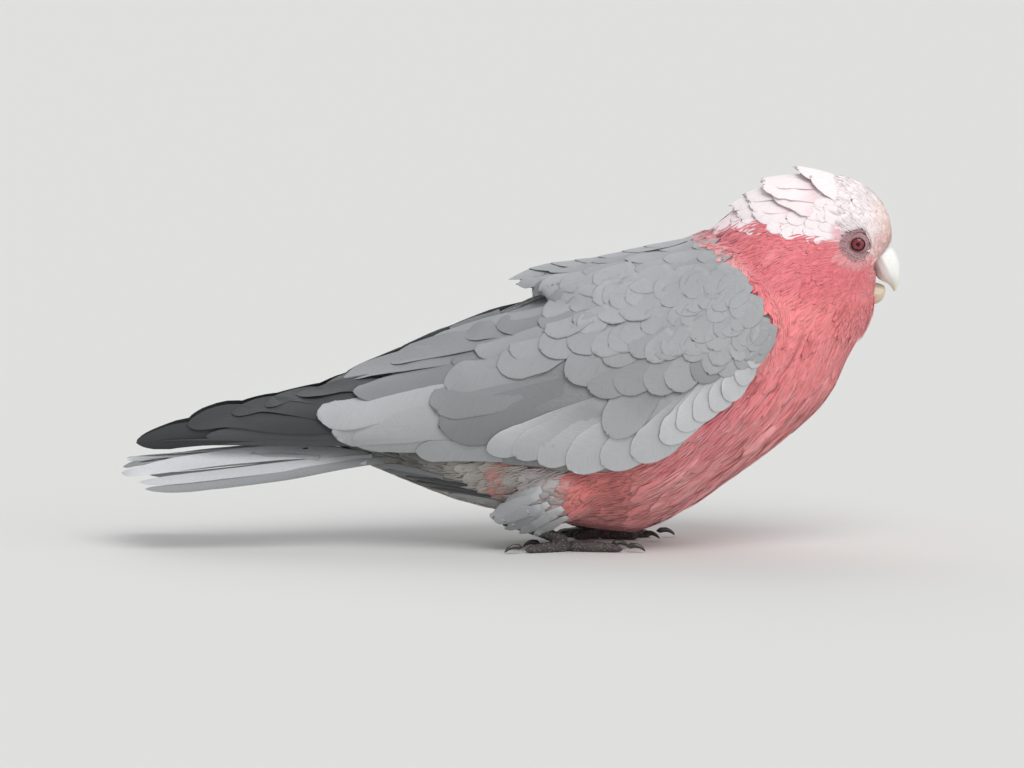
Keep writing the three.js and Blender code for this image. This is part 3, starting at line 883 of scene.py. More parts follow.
# %% Skin finish
f = Finish("skin_finish")
place = f.place()
pores = f.cells(place, 1500.0)
folds = f.noise(place, 700.0, 4.0)
mottled = f.blend(folds.ramp(0.35, 0.7) * 0.15, f.tint(), (0.16, 0.1, 0.1, 1.0))
skin_finish = f.done(Base_Color=mottled, Roughness=folds * 0.2 + 0.5, Specular_IOR_Level=0.35,
                     Normal=f.bump(folds * 0.7 - pores * 0.5, 0.0003, 0.8))
dressed(skin, skin_finish, FLESH)
print("skin takes the place of", FLESH)

# %% [markdown]
# ## Where the small feathers stand
# Feathers stand in an even but not regular pattern. A grid would show as rows, and plain chance
# leaves gaps and heaps. So far too many random points are thrown over the form, and each in turn
# clears away the ones too close behind it. What the folded wing hides gets none.

# %% Scattering roots
def tree_of(points):
    """A tree that finds the nearest of some points quickly."""
    tree = KDTree(len(points))
    for number, point in enumerate(points):
        tree.insert(point, number)
    tree.balance()
    return tree


def triangles_of(form):
    """The corners of a form's triangles, in millimetres."""
    copy = form.copy()
    bmesh.ops.triangulate(copy, faces=copy.faces[:])
    corners = np.array([[v.co for v in face.verts] for face in copy.faces]) / MM
    copy.free()
    return corners


def scatter(corners, spacing, keep, seed, crowd=5.0):
    """Evenly spread roots on the triangles, where keep says so."""
    dice = np.random.default_rng(seed)
    cross = np.cross(corners[:, 1] - corners[:, 0], corners[:, 2] - corners[:, 0])
    area = np.linalg.norm(cross, axis=1) / 2
    middle = corners.mean(1)
    near = np.where(keep(middle), area / spacing(middle) ** 2, 0)
    count = int(near.sum() * crowd)
    chosen = dice.choice(len(corners), count, p=near / near.sum())
    u, v = dice.uniform(size=(2, count))
    flip = u + v > 1
    u, v = np.where(flip, 1 - u, u), np.where(flip, 1 - v, v)
    a, b, c = corners[chosen].transpose(1, 0, 2)
    points = a + (b - a) * u[:, None] + (c - a) * v[:, None]
    points = points[keep(points)]
    gaps = spacing(points)
    tree = tree_of(points)
    stays = np.ones(len(points), bool)
    for i, point in enumerate(points):
        if stays[i]:
            for _, j, _ in tree.find_range(point, gaps[i]):
                if j > i:
                    stays[j] = False
    return points[stays]


flesh_corners = triangles_of(flesh_form)
body_corners = triangles_of(body_form)
print("roots can stand on", len(flesh_corners), "triangles")


# %% What the folded wing hides
def under_wing(points):
    """True where a wing lies close over the point, straight out and a little ahead of it."""
    hidden = np.zeros(len(points), bool)
    for i, point in enumerate(points):
        here = Vector(point * MM)
        _, normal, _, _ = flesh.find_nearest(here)
        cover = wing["left" if point[1] > 0 else "right"]
        start = here - normal * MM
        above, _, _, _ = cover.ray_cast(start, normal, 12 * MM)
        ahead, _, _, _ = cover.ray_cast(start, normal + Vector((0.5, 0, -0.4)), 16 * MM)
        hidden[i] = above is not None and ahead is not None
    return hidden


middles = flesh_corners.mean(1)
covered = under_wing(middles)
covered_tree = tree_of(middles[covered])


def open_coat(points):
    """True where the body's own coat shows."""
    hidden = np.array([covered_tree.find(point)[2] < 1.0 for point in points])
    mouth = (points[:, 0] > 152) & (points[:, 2] < 111) & (points[:, 2] > 102)
    return ~hidden & ~mouth & ~in_ring(points, 0.86)


print("coat shows on", round(100 * (1 - covered.mean())), "% of the form")


# %% [markdown]
# ## The body's coat
# A bird's body feathers grow in tracts, and the tracts differ: the cap's feathers are like
# overlapping scales, the face is fine and dense, and the breast hangs in longer, pointed locks that
# cling together. Hair curves would be quicker to lay, but they aren't solid. So each tract is one
# piece of solid blades, and most get a second piece of single barbs, which gives them a soft edge.

# %% One tract
DIMMED = [0.62, 0.5, 0.5]  # what a few darker feathers keep of their colour


def tract(name, where, seed, slot, finish, shape, scale=(1, 1, 1), rise=(0.55, 1.0), fray=0.1,
          shade=(0.95, 1.01), vary=0.04, wander=0.12, arch=0.06, thick=0.07, base=None, dark=0.0,
          bend=False, turn=(0, 0, 0), ground=None, mark=0.5):
    """Scatters, walks, colours and lays one tract of small feathers.

    The scale is for length, width and spacing, and the rise says how high roots and tips lie in
    the coat's depth. The mark is the share of the midline where the colour is read."""
    dice = np.random.default_rng(seed)
    tree, corners = ground or (flesh, flesh_corners)
    roots = scatter(corners, lambda p: station_blend(p, SPACING)[:, 0] * scale[2],
                    lambda p: where(p) & open_coat(p), seed)
    size = station_blend(roots, SIZE)
    lengths = size[:, 0] * scale[0] * dice.uniform(0.82, 1.15, len(roots))
    half = size[:, 1] * scale[1] * dice.uniform(0.85, 1.12, len(roots))
    ways = lie_of_coat(roots) + np.array(turn) + wander * dice.normal(size=roots.shape)
    columns = columns_of(shape[0])
    path = walk(tree, roots, ways, lengths, columns, half if bend else None)
    depth = coat_depth(roots)[:, None]
    low, high = rise
    high = high * dice.uniform(0.93, 1.05, len(roots))[:, None]
    levels = depth * (low - 1 + (high - low) * step(columns, -0.1, 0.9)[None])
    levels += depth * (0.3 * clumps(roots) - 0.5 * furrows(roots))[:, None]
    colours = markings_and_painted_light(path[0][:, int(mark * (len(columns) - 1))])
    colours = colours * (1 + vary * dice.normal(size=(len(roots), 1)))
    dim = dice.uniform(size=(len(roots), 1)) < dark
    colours = np.where(dim, colours * DIMMED, colours)
    return lay(name, path, half, levels, colours, shape, dice, finish, (), arch, thick, fray,
               shade, base=base)


print("a tract's coat is up to", round(float(coat_depth(STATIONS[:, :3]).max()), 1), "mm deep")

# %% Blades and regions
# columns, rows | tip's length in half widths | width at the root
SMALL = (5, 2, 1.8, 0.5)
SCALE = (8, 4, 1.25, 0.55)
LOCK = (7, 2, 2.6, 0.5)
BARB = (3, 1, 9.0, 0.7)


def above_cap_edge(points):
    """True where a point lies above the pale cap's lower edge."""
    return points[:, 2] > np.interp(points[:, 0], CAP_EDGE_X, CAP_EDGE_Z)


def on_side(where, sign):
    """The part of a region that lies on one side of the bird."""
    return lambda p: where(p) & (p[:, 1] * sign > 0)


is_cap = lambda p: above_cap_edge(p) & (p[:, 0] > 84)
is_crown = lambda p: above_cap_edge(p - [0, 0, 1.3]) & (p[:, 0] > 84) & (p[:, 0] <= 140)
is_forehead = lambda p: above_cap_edge(p) & (p[:, 0] > 140) & ~in_ring(p, 1.15)
is_brow = lambda p: is_cap(p) & (p[:, 0] > 141) & ~in_ring(p, 1.1)
is_chin = lambda p: (p[:, 0] > 140) & (p[:, 2] > 96) & (p[:, 2] < 106)
is_face = lambda p: ~above_cap_edge(p) & (p[:, 0] > 112) & (p[:, 2] > 98)
is_neck = lambda p: ~is_cap(p) & ~is_face(p) & (p[:, 2] > 68)
is_breast = lambda p: (p[:, 2] <= 68) & (p[:, 0] > 52)
is_belly = lambda p: (p[:, 2] <= 72) & (p[:, 0] <= 52)
print("the eye lies in the face:", bool(is_face(EYE[None])[0]))

# %% Crown, forehead and chin
tract("coat_cap", is_crown, 21, "plumage_cap", SOFT, SCALE, (1.4, 1.2, 1.1), (0.75, 1.0), fray=0.06,
      shade=(0.98, 1.0), vary=0.012, base=CAP_EDGE, thick=0.05, arch=0.02, bend=True, mark=0)
tract("coat_forehead", is_forehead, 20, "plumage_cap", SOFT, SMALL, (1.6, 1.35, 1.05), (0.84, 0.96),
      shade=(1.0, 1.02), vary=0.012, wander=0.06, thick=0.03, arch=0.02, bend=True, mark=0)
tract("chin_tuft", is_chin, 19, "plumage_rose", SOFT, LOCK, (1.1, 0.8, 0.85), (0.6, 1.4), fray=0.15,
      thick=0.03, vary=0.015, shade=(0.98, 1.0))
tract("chin_barbs", is_chin, 18, "plumage_rose", SOFT, BARB, (0.9, 0.1, 0.26), (0.8, 1.75),
      wander=0.1, vary=0.03, thick=0.03, shade=(0.98, 1.02))

# %% Brow, face, breast and neck, side by side
# name | region | seed between the sides | slot | blade | scale | rise | what else differs
SIDE_TRACTS = [
    ("cap_barbs", is_brow, 112, "plumage_cap", BARB, (0.8, 0.16, 0.36), (0.9, 0.98),
     {"wander": 0.05, "vary": 0.015, "thick": 0.02, "shade": (1.0, 1.02), "mark": 0}),
    ("coat_face", is_face, 22, "plumage_rose", SMALL, (1.3, 1.4, 0.9), (0.75, 0.96),
     {"vary": 0.012, "thick": 0.05}),
    ("face_barbs", is_face, 122, "plumage_rose", BARB, (0.95, 0.14, 0.38), (0.9, 1.0),
     {"wander": 0.08, "vary": 0.02, "thick": 0.03}),
    ("coat_breast", is_breast, 32, "plumage_rose", LOCK, (1.2, 1.0, 0.85), (0.62, 0.95),
     {"fray": 0.15}),
    ("breast_barbs", is_breast, 132, "plumage_rose", BARB, (0.8, 0.085, 0.27), (0.84, 1.1),
     {"wander": 0.1, "vary": 0.08, "dark": 0.06, "thick": 0.05}),
    ("coat_neck", is_neck, 42, "plumage_rose", LOCK, (1.1, 1.1, 0.85), (0.62, 0.9),
     {"vary": 0.02}),
    ("neck_barbs", is_neck, 142, "plumage_rose", BARB, (0.7, 0.085, 0.28), (0.84, 1.03),
     {"wander": 0.09, "vary": 0.04, "dark": 0.01, "thick": 0.04}),
]
for side, sign in SIDES.items():
    for name, where, seed, slot, blade, scale, rise, other in SIDE_TRACTS:
        tract(f"{name}_{side}", on_side(where, sign), seed + int(sign), slot, SOFT, blade, scale,
              rise, **other)

# %% Belly
tract("coat_belly", is_belly, 42, "plumage_thigh", SOFT, LOCK, (1, 1.1, 0.95), (0.6, 1.0), fray=0.15)
tract("belly_barbs", is_belly, 43, "plumage_thigh", SOFT, BARB, (0.6, 0.1, 0.42), (0.85, 1.04),
      wander=0.16, vary=0.08, dark=0.06, thick=0.05)

# %% [markdown]
# ## The collar over the wing's front edge
# Where neck and wing meet, a bird's neck feathers hang over the wing's front edge and hide it. The
# neck's own tract ends there, on the flesh. Longer neck feathers would cross the gap in mid-air, so
# the collar is a tract of its own, which stands on the form that runs across both.

# %% Collar of locks and barbs
def in_collar(points):
    """A band ahead of the wing's front edge, from the nape down to the breast."""
    ahead = ahead_of_wing(points)
    return (ahead > 2.0 + step(points[:, 2], 108, 118)) & (ahead < 9) & (points[:, 2] > 82)


# name | seed | lowest and highest z | turn of the feathers
COLLARS = [
    ("nape_collar", 45, 113, 150, (-0.1, 0, -0.2)),
    ("front_collar", 47, 82, 115, (0.3, 0, -0.5)),
]
# name | blade | scale | rise
COLLAR_LAYERS = [
    ("locks", SMALL, (0.6, 0.8, 0.6), (0.75, 0.95)),
    ("barbs", BARB, (0.5, 0.09, 0.21), (0.88, 1.06)),
]
for side, sign in SIDES.items():
    for name, seed, low, high, turn in COLLARS:
        band = lambda p: in_collar(p) & (p[:, 2] > low) & (p[:, 2] < high)
        for layer, blade, scale, rise in COLLAR_LAYERS:
            tract(f"{name}_{layer}_{side}", on_side(band, sign), seed, "plumage_rose", SOFT, blade,
                  scale, rise, turn=turn, thick=0.04, ground=(body, body_corners))


# %% [markdown]
# ## Long feathers, one by one
# A folded wing shows its larger feathers in rows, like tiles, and each has its own place. Scattering
# would lose those places, so they are listed one by one: where the tip lies, where the root lies, how
# broad it is and how light. Seen from the side the midline runs straight from root to tip, and every
# point of it is brought onto the wing's outer surface. Feathers rise from deep roots to their tips,
# so the ones further forward lie over those behind.

# %% A midline between root and tip
FAR_OUT = 120       # where lines towards the bird start
AXIS_HEIGHT = 88.0  # feathers round the back are placed by angle, from a level axis this high


def touch(ground, x, z, sign, round_back, last):
    """Where a line from outside meets the ground: level, or at an angle towards an axis."""
    start, out = Vector((x, 0, z)), Vector((0, sign, 0))
    if round_back:
        start = Vector((x, 0, round_back))
        out = Vector((0, sign * math.cos(math.radians(z)), math.sin(math.radians(z))))
    far = 155 if round_back else 115
    hit, _, _, _ = ground.ray_cast((start + FAR_OUT * out) * MM, -out, far * MM)
    if hit is None:
        hit, _, _, _ = ground.find_nearest((start + last * out) * MM)
    return np.array(hit) / MM, np.array(out)


def laid_path(ground, side, rows, columns, lean=0.0, round_back=0.0):
    """Midlines between given roots and tips, brought onto the ground's outer surface.

    Rows give tips and roots in side view. Round the back, from an axis at the given height, they
    give the angle over level in place of the height. A leaning feather's tip lies below its
    midline, so that its upper edge curves down to it. Beside each place of the midline the ground
    is felt as well, so that the blade can bend round it."""
    sign = SIDES[side]
    size = (len(rows), len(columns), 3)
    places, asides = np.zeros(size), np.zeros(size)
    curve = np.zeros(size[:2])
    for i, row in enumerate(rows):
        tip, root = np.array(row[0:2], float), np.array(row[2:4], float)
        sag = row[6] if len(row) > 6 else 0.0
        reach = FEEL * row[4]
        across = np.array([root[1] - tip[1], tip[0] - root[0]]) / math.dist(tip, root)
        if round_back:
            across = np.array([0.0, -math.degrees(1 / 30)])
        last, aside = 20.0, np.array([0, 0, -1.0])
        for k, share in enumerate(columns):
            x, z = root + (tip - root) * share
            z += lean * row[4] * (1 - step(share, 0.8, 1.0)) - sag * 4 * share * (1 - share)
            spots = []
            for t in (-reach, 0, reach):
                spot, out = touch(ground, x + across[0] * t, z + across[1] * t, sign, round_back,
                                  last)
                spots.append(spot)
            one, middle, other = spots
            last = abs(float(middle[1]))
            if round_back:
                last = math.hypot(middle[1], middle[2] - round_back)
            drop = (one + other) / 2 - middle
            places[i, k] = [x, middle[1], middle[2]]
            span = other - one
            aside = span / (2 * reach) if np.linalg.norm(span) > 0.8 * reach else aside
            asides[i, k] = aside
            fallen = -drop @ out / 0.49  # FEEL squared
            curve[i, k] = np.clip(fallen, -0.1 * row[4], 0.4 * row[4])
    places = eased(places, 4)
    asides, curve = eased(asides, 6), eased(curve, 6)
    normals = np.cross(np.gradient(places, axis=1), asides)
    normals /= np.linalg.norm(normals, axis=2, keepdims=True)
    inside = [0, 0, round_back - 48]  # well inside the body
    outward = places - inside if round_back else places * [0, 1, 0]
    outward[:, :, 0] = 0
    normals *= np.sign((normals * outward).sum(2, keepdims=True))
    return places, normals, curve


print("lines start", FAR_OUT, "mm out")


# %% Feathers laid one by one
def hand_laid(name, ground, side, rows, shape, slot, finish, seed, replaced=(), top=0.0,
              slope=0.03, deepest=2.2, tilt=0.012, arch=0.02, thick=0.09, fray=0.015,
              shade=(0.93, 1.01), rim=1.0, lean=0.0, round_back=0.0):
    """Lays the listed feathers of one side, each rising from its root to its tip."""
    dice = np.random.default_rng(seed)
    columns = columns_of(shape[0])
    half = np.array([row[4] for row in rows], float) * dice.uniform(0.97, 1.03, len(rows))
    colours = np.array([grey(row[5]) for row in rows]) * dice.uniform(0.98, 1.02, (len(rows), 1))
    path = laid_path(ground, side, rows, columns, lean, round_back)
    spans = np.array([abs(row[0] - row[2]) if round_back else math.dist(row[0:2], row[2:4])
                      for row in rows])
    levels = shingled(spans[:, None] * (1 - columns[None]), top, slope, deepest)
    heights = np.array([row[1] for row in rows], float)
    levels += tilt * np.clip(heights - heights.mean(), -15, 15)[:, None]
    return lay(name, path, half, levels, colours, shape, dice, finish, replaced, arch, thick,
               fray, shade, rim)


# columns, rows | tip's length in half widths | width at the root
LONG = (20, 6, 4.0, 0.6)
POINTED = (20, 6, 7.0, 0.6)
ROUNDED = (16, 6, 1.35, 0.5)
BROAD = (16, 6, 1.7, 0.6)
SLIM = (16, 6, 2.4, 0.5)
DOWN = (10, 4, 2.8, 0.5)
print("a long blade ends over", LONG[2], "half widths, a rounded one over", ROUNDED[2])

# %% [markdown]
# ## The folded wing
# Folded, a wing shows the dark tips of its outer primaries, the grey secondaries, and over their
# roots three kinds of coverts: greater, lower and median. One plate with edges drawn on it would
# have no steps for light to catch. So every feather is a blade of its own, and the tables below give
# each its place. Both wings use the same tables, with small random deviations of their own.

# %% Flight feathers
# tip x, z | root x, z | half width | lightness | sag
PRIMARIES = [
    (-150, 41.8, -40, 42.4, 2.2, 96, 0), (-157.3, 43.6, -40, 44.0, 5.2, 66, 0),
    (-136, 52.4, -44, 50.5, 6.4, 68, 0), (-128, 47.0, -44, 46.5, 2.6, 88, 0),
    (-117, 57.4, -42, 57, 5.4, 70, 0), (-103, 60.6, -42, 62, 5.2, 74, 0),
    (-90, 64.6, -40, 69, 4.8, 80, 0), (-78, 68.8, -38, 76, 4.6, 88, 0),
]
SECONDARIES = [
    (-40, 42.2, 38, 44, 5, 172, 1.0),
    (-66.6, 47.0, 21, 48.5, 7.2, 176, 1.5),
    (-75, 50.5, 10, 60, 8.2, 174, 1.5),
    (-81.3, 57.6, -4, 76, 9.8, 180, 1.0),
    (-66, 67.3, 12, 86, 6.6, 138, 1.0),
    (-69.9, 71.5, 8, 93, 7.2, 146, 0.5),
    (-50.6, 78.4, 21, 100, 6.8, 146, 0.5),
    (-36.3, 84.8, 18, 103, 5.0, 158, 0),
]
print(len(PRIMARIES), "primaries and", len(SECONDARIES), "secondaries show on each side")

# %% Coverts
# tip x, z | root x, z | half width | lightness | sag
GREATER = [
    (-19, 91.0, 21, 103, 5.8, 140, 0.5), (-6, 95.0, 33, 106, 6.8, 138, 0.5),
    (11.5, 97.5, 48, 108, 8.4, 148, 0.5), (25.8, 98.2, 58, 108, 8.0, 160, 0.5),
    (-15, 85.6, 14, 95, 6.2, 158, 0.5), (-0.6, 86.3, 30, 97, 8.6, 164, 0.5),
    (-5.7, 79.7, 27, 90, 8.4, 160, 0.5), (-28, 72, 25, 88, 9.0, 158, 0.5),
    (-34, 64, 34, 80, 9.6, 144, 0.5), (-30, 54, 45, 76, 12, 136, 1.0),
]
LOWER = [
    (-10, 43.5, 40, 66, 6.4, 190, 1), (1, 42.0, 44, 68, 7.2, 186, 1), (12, 38.5, 52, 72, 8.0, 190, 1),
    (24, 36.5, 62, 70, 9.5, 194, 2), (38, 38.5, 72, 68, 9.5, 196, 3), (50, 43.5, 82, 74, 9.0, 196, 6),
    (40, 52.0, 62, 84, 9, 168, 3),
    (62, 51.0, 88, 82, 7.4, 204, 7), (69, 56.5, 91, 86, 6.8, 206, 7), (76, 60.0, 95, 88, 6.4, 204, 6),
    (83, 63.5, 99, 90, 6.2, 202, 5), (89, 67.0, 102, 92, 6.0, 200, 4), (95, 73.0, 105, 95, 5.4, 196, 3),
    (100, 80.0, 107, 98, 4.6, 190, 2),
]
MEDIAN = [
    (23, 76, 52, 92, 9.6, 156, 0), (33, 70, 58, 90, 10, 150, 0), (45, 70, 64, 92, 9.0, 152, 0),
    (58, 70, 72, 92, 8.6, 160, 1), (66, 72, 80, 93, 8.0, 166, 2), (77, 75, 90, 93, 7.4, 148, 1),
    (86, 78, 97, 95, 6.6, 172, 2), (93, 84, 102, 99, 6.0, 176, 1), (12, 87, 42, 99, 8.6, 162, 0),
    (24, 88, 50, 102, 8.8, 160, 0), (39, 82, 58, 100, 8.6, 158, 0), (51, 85, 66, 104, 8.0, 158, 0),
    (62, 84, 74, 104, 8.0, 162, 0), (73, 86, 84, 103, 7.5, 168, 0), (83, 88, 94, 104, 7.0, 172, 0),
]
print(len(GREATER) + len(LOWER) + len(MEDIAN), "larger coverts show on each side")

# %% The rows of the wing
# name | feathers | blade | slot | finish | seed | what it replaces | what else differs
WING_ROWS = [
    ("primaries", PRIMARIES, LONG, "plumage_slate", STIFF, 0, ["wing_tip"],
     {"top": -0.7, "slope": 0.03, "deepest": 2.8, "tilt": 0.045, "lean": 0.8}),
    ("secondaries", SECONDARIES, ROUNDED, "plumage_grey", SMOOTH, 1, ["wing_flight"],
     {"top": -0.3, "slope": 0.018, "lean": 0.2, "tilt": 0.05}),
    ("greater_coverts", GREATER, ROUNDED, "plumage_grey", SMOOTH, 2, [],
     {"top": -0.1, "slope": 0.015, "tilt": 0.03}),
    ("lower_coverts", LOWER, BROAD, "plumage_grey", SMOOTH, 4, [],
     {"slope": 0.02, "tilt": 0.02, "shade": (0.66, 1.03), "rim": 1.04}),
    ("median_coverts", MEDIAN, ROUNDED, "plumage_grey", SMOOTH, 3, [],
     {"top": 0.15, "slope": 0.013, "tilt": 0.02}),
]
WING_SEEDS = {"right": 50, "left": 60}
for side in SIDES:
    for name, rows, blade, slot, finish, seed, nodes, other in WING_ROWS:
        hand_laid(f"{name}_{side}", wing_bed[side], side, rows, blade, slot, finish,
                  WING_SEEDS[side] + seed, [f"{node}_{side}" for node in nodes], **other)

# %% [markdown]
# ## The small feathers of the wing's shoulder
# Over the roots of the larger ones lie rows of small, round coverts, too many for a table. The
# body's stations don't fit them, as their streams turn with the wing: down and back at the shoulder,
# straight back behind. So they are scattered on the wing's outer surface by stations of its own.

# %% Stations of the wing
# x, z on the wing | the way it points there | length, half width, spacing
WING_STATIONS = np.array([
    (97, 110, -0.55, -0.85, 11, 3.8, 4.2), (105, 98, -0.30, -0.95, 10, 3.4, 3.8),
    (102, 84, -0.40, -0.90, 11, 3.6, 4.0), (92, 74, -0.50, -0.87, 12, 4.6, 5.2),
    (84, 100, -0.70, -0.70, 12, 4.6, 5.2), (70, 88, -0.60, -0.80, 15, 5.4, 6.4),
    (60, 104, -0.90, -0.40, 15, 5.6, 6.6), (40, 92, -0.85, -0.50, 16, 6.0, 7.0),
    (48, 70, -0.75, -0.65, 16, 6.0, 7.0), (20, 100, -0.97, -0.25, 17, 6.2, 7.2),
])


# the lower and the front edge of the patch that they cover
LOW_X = [20, 40, 55, 66, 84, 98, 112]
LOW_Z = [104, 98, 95, 93, 92, 90, 90]
FRONT_Z = [70, 80, 90, 98, 106, 116, 126]
FRONT_X = [99, 104, 108.5, 110, 106, 99, 94]


def wing_blend(points, columns):
    """Blends some columns of the wing's stations at each point."""
    gap = np.linalg.norm(points[:, None, [0, 2]] - WING_STATIONS[None, :, :2], axis=2)
    return by_nearness(gap, 4, 1.5, WING_STATIONS[:, columns])


def has_small_coverts(points):
    """The part of the wing that the small coverts cover."""
    x, z = points[:, 0], points[:, 2]
    inside = (z > np.interp(x, LOW_X, LOW_Z)) & (x < np.interp(z, FRONT_Z, FRONT_X))
    return inside & (x > 30) & (np.abs(points[:, 1]) > 20) & (z < 121)


def outer_face(side):
    """The triangles of a wing that look out or up."""
    corners = triangles_of(wing_form[side])
    cross = np.cross(corners[:, 1] - corners[:, 0], corners[:, 2] - corners[:, 0])
    return corners[cross[:, 1] * SIDES[side] + 0.6 * cross[:, 2] > 0]


print("the wing has", len(WING_STATIONS), "stations")

# %% Small coverts
COVERT = (9, 4, 1.3, 0.6)
LARGER = 1.25  # they are laid larger than the stations say, so that they overlap well
columns = columns_of(COVERT[0])
for side, sign in SIDES.items():
    dice = np.random.default_rng(70 + int(sign))
    roots = scatter(outer_face(side), lambda p: wing_blend(p, [6])[:, 0] * 0.95,
                    has_small_coverts, 71 + int(sign))
    size = wing_blend(roots, [2, 3, 4, 5])
    ways = np.stack([size[:, 0], 0 * size[:, 0], size[:, 1]], 1)
    ways += 0.14 * dice.normal(size=roots.shape)
    lengths = size[:, 2] * LARGER * dice.uniform(0.85, 1.15, len(roots))
    half = size[:, 3] * LARGER * dice.uniform(0.85, 1.15, len(roots))
    path = walk(wing[side], roots, ways, lengths, columns, half)
    levels = shingled(lengths[:, None] * (1 - columns[None]), 0.25, 0.009)
    vary = 0.05 * drift(roots, 14, 72)[:, None]
    tones = grey(168)[None] * (1 + vary + 0.025 * dice.normal(size=(len(roots), 1)))
    lay(f"small_coverts_{side}", path, half, levels, tones, COVERT, dice, SMOOTH,
        [f"wing_coverts_{side}"], arch=0.02, thick=0.05, fray=0.025, shade=(0.94, 1.0), rim=1.05)

# %% [markdown]
# ## Mantle, back and saddle
# Between the wings lie the feathers of the mantle, and behind them a saddle closes the gap over the
# back. Placed in side view they would crowd together there, where the body turns away. So the
# mantle's feathers are placed by their angle round an axis inside the body. The saddle's feathers
# span the gap between both shoulders, with nothing under them, so their lines come from a table.

# %% Mantle feathers and the line of the spine
# tip: how far along, angle over level | root: the same | half width | lightness
MANTLE_ROWS = [
    (3, 62, 40, 60, 3.4, 158), (9, 51, 44, 50, 4.2, 142), (16, 74, 52, 72, 5.5, 154),
    (16, 42, 58, 41, 6.0, 152), (30, 60, 66, 58, 6.5, 158), (34, 76, 66, 76, 6.0, 152),
    (36, 45, 72, 43, 6.5, 158), (48, 68, 80, 66, 6.5, 162), (52, 53, 84, 50, 6.5, 164),
    (54, 38, 84, 36, 6.0, 164), (52, 84, 74, 84, 6.0, 158), (64, 60, 90, 58, 6.0, 168),
    (62, 76, 82, 75, 5.5, 166), (68, 46, 94, 43, 6.5, 170), (76, 66, 88, 66, 5.0, 170),
    (78, 54, 93, 52, 5.5, 170), (78, 38, 98, 36, 5.5, 170), (60, 88, 75, 88, 5.0, 162),
    (86, 44, 97, 42, 4.5, 172),
]
SPINE_ROWS = [(x, 90, x + 30, 90, 4.0, 160) for x in (-50, -34, -18, -2)]
for side, seed in (("right", 80), ("left", 81)):
    hand_laid(f"mantle_feathers_{side}", mantle_bed[side], side, MANTLE_ROWS, SLIM, "plumage_grey",
              SMOOTH, seed, [f"mantle_{side}"], top=0.1, slope=0.02, tilt=0.0, shade=(0.9, 0.98),
              round_back=AXIS_HEIGHT)
hand_laid("back_feathers", body, "right", SPINE_ROWS, ROUNDED, "plumage_grey", SMOOTH, 90,
          top=0.0, slope=0.02, tilt=0.0, round_back=AXIS_HEIGHT)

# %% Saddle feathers, which lie across both shoulders
SADDLE_LENGTH = 30
# tip x | half width | how far the sides hang down | lightness
SADDLE = [(-0.8, 7.5, 3.6, 166), (8, 9.0, 3.2, 158), (17, 10, 2.8, 160), (27, 10, 2.5, 156),
          (37, 10, 2.3, 162), (47, 10, 2.2, 164), (56, 9, 2.0, 166)]
TOP_X = [-1, 3, 8, 15, 25, 36, 50, 62, 74, 90]
TOP_Z = [112.0, 114.4, 116.9, 118.9, 120.2, 121.6, 124.9, 127.5, 130.0, 134.0]
tips, halves, hang, tones = [np.array(column, float) for column in zip(*SADDLE)]
columns = columns_of(ROUNDED[0])
lines = np.zeros((len(tips), len(columns), 3))
lines[:, :, 0] = tips[:, None] + SADDLE_LENGTH * (1 - columns[None])
lines[:, :, 2] = np.interp(lines[:, :, 0], TOP_X, TOP_Z)
up = np.zeros_like(lines)
up[:, :, 2] = 1
levels = shingled(SADDLE_LENGTH * (1 - np.tile(columns, (len(tips), 1))), 0.1, 0.02)
lay("saddle_feathers", (lines, up, np.tile(hang[:, None], (1, len(columns)))), halves, levels,
    np.array([grey(tone) for tone in tones]), (16, 8, 2.0, 0.6), np.random.default_rng(91),
    SMOOTH, arch=0.02, thick=0.09, fray=0.015, shade=(0.95, 1.0))

# %% [markdown]
# ## Thigh and undertail
# The thigh wears short, downy feathers down to the shank, and a few of those under the tail are
# dark. Scattering would leave them too even for down, and there are few of them. So they are laid by
# tip and root too, with ragged edges, over a copy of thigh and shank and over the flesh.

# %% Feathers of the thigh and under the tail
# tip x, z | root x, z | half width | lightness
THIGH_ROWS = [
    (-8.5, 15.5, 12, 25, 3.0, 170), (-7.5, 12.5, 13, 20, 3.0, 162), (-4, 18, 13, 28, 3.2, 176),
    (-2, 9.5, 15, 18, 2.8, 150), (4, 8.2, 19, 17, 2.8, 158), (10, 7.8, 24, 16, 2.8, 166),
    (-6, 13.8, 8, 18, 2.2, 178), (1, 11.5, 16, 22, 2.6, 172), (8, 10.5, 22, 20, 2.6, 176),
]
UNDERTAIL_ROWS = [
    (-52, 33, -20, 29, 2.6, 96), (-44, 31, -18, 28, 1.7, 44), (-40, 28.6, -14, 25, 1.7, 46),
    (-33, 26.2, -8, 23, 1.6, 44), (-26, 23.5, -2, 20, 2.4, 150), (-60, 36, -28, 31, 2.8, 118),
]
for side, seed in (("right", 92), ("left", 93)):
    leg_bed = BVHTree.FromBMesh(joined_copy([f"thigh_{side}", f"shank_{side}"]))
    for name, bed, rows in (("thigh", leg_bed, THIGH_ROWS), ("undertail", flesh, UNDERTAIL_ROWS)):
        hand_laid(f"{name}_feathers_{side}", bed, side, rows, DOWN, "plumage_thigh", SOFT, seed,
                  top=0.9, slope=0.02, tilt=0.0, fray=0.14, shade=(1.1, 0.92))

# %% [markdown]
# ## The tail
# A galah's tail has twelve stiff feathers, which close like a fan: the middle pair on top and the
# outer ones below. A single arched plate has that outline but none of its steps, so each of the
# twelve is laid on the plate's surface, with pointed tips at different lengths.

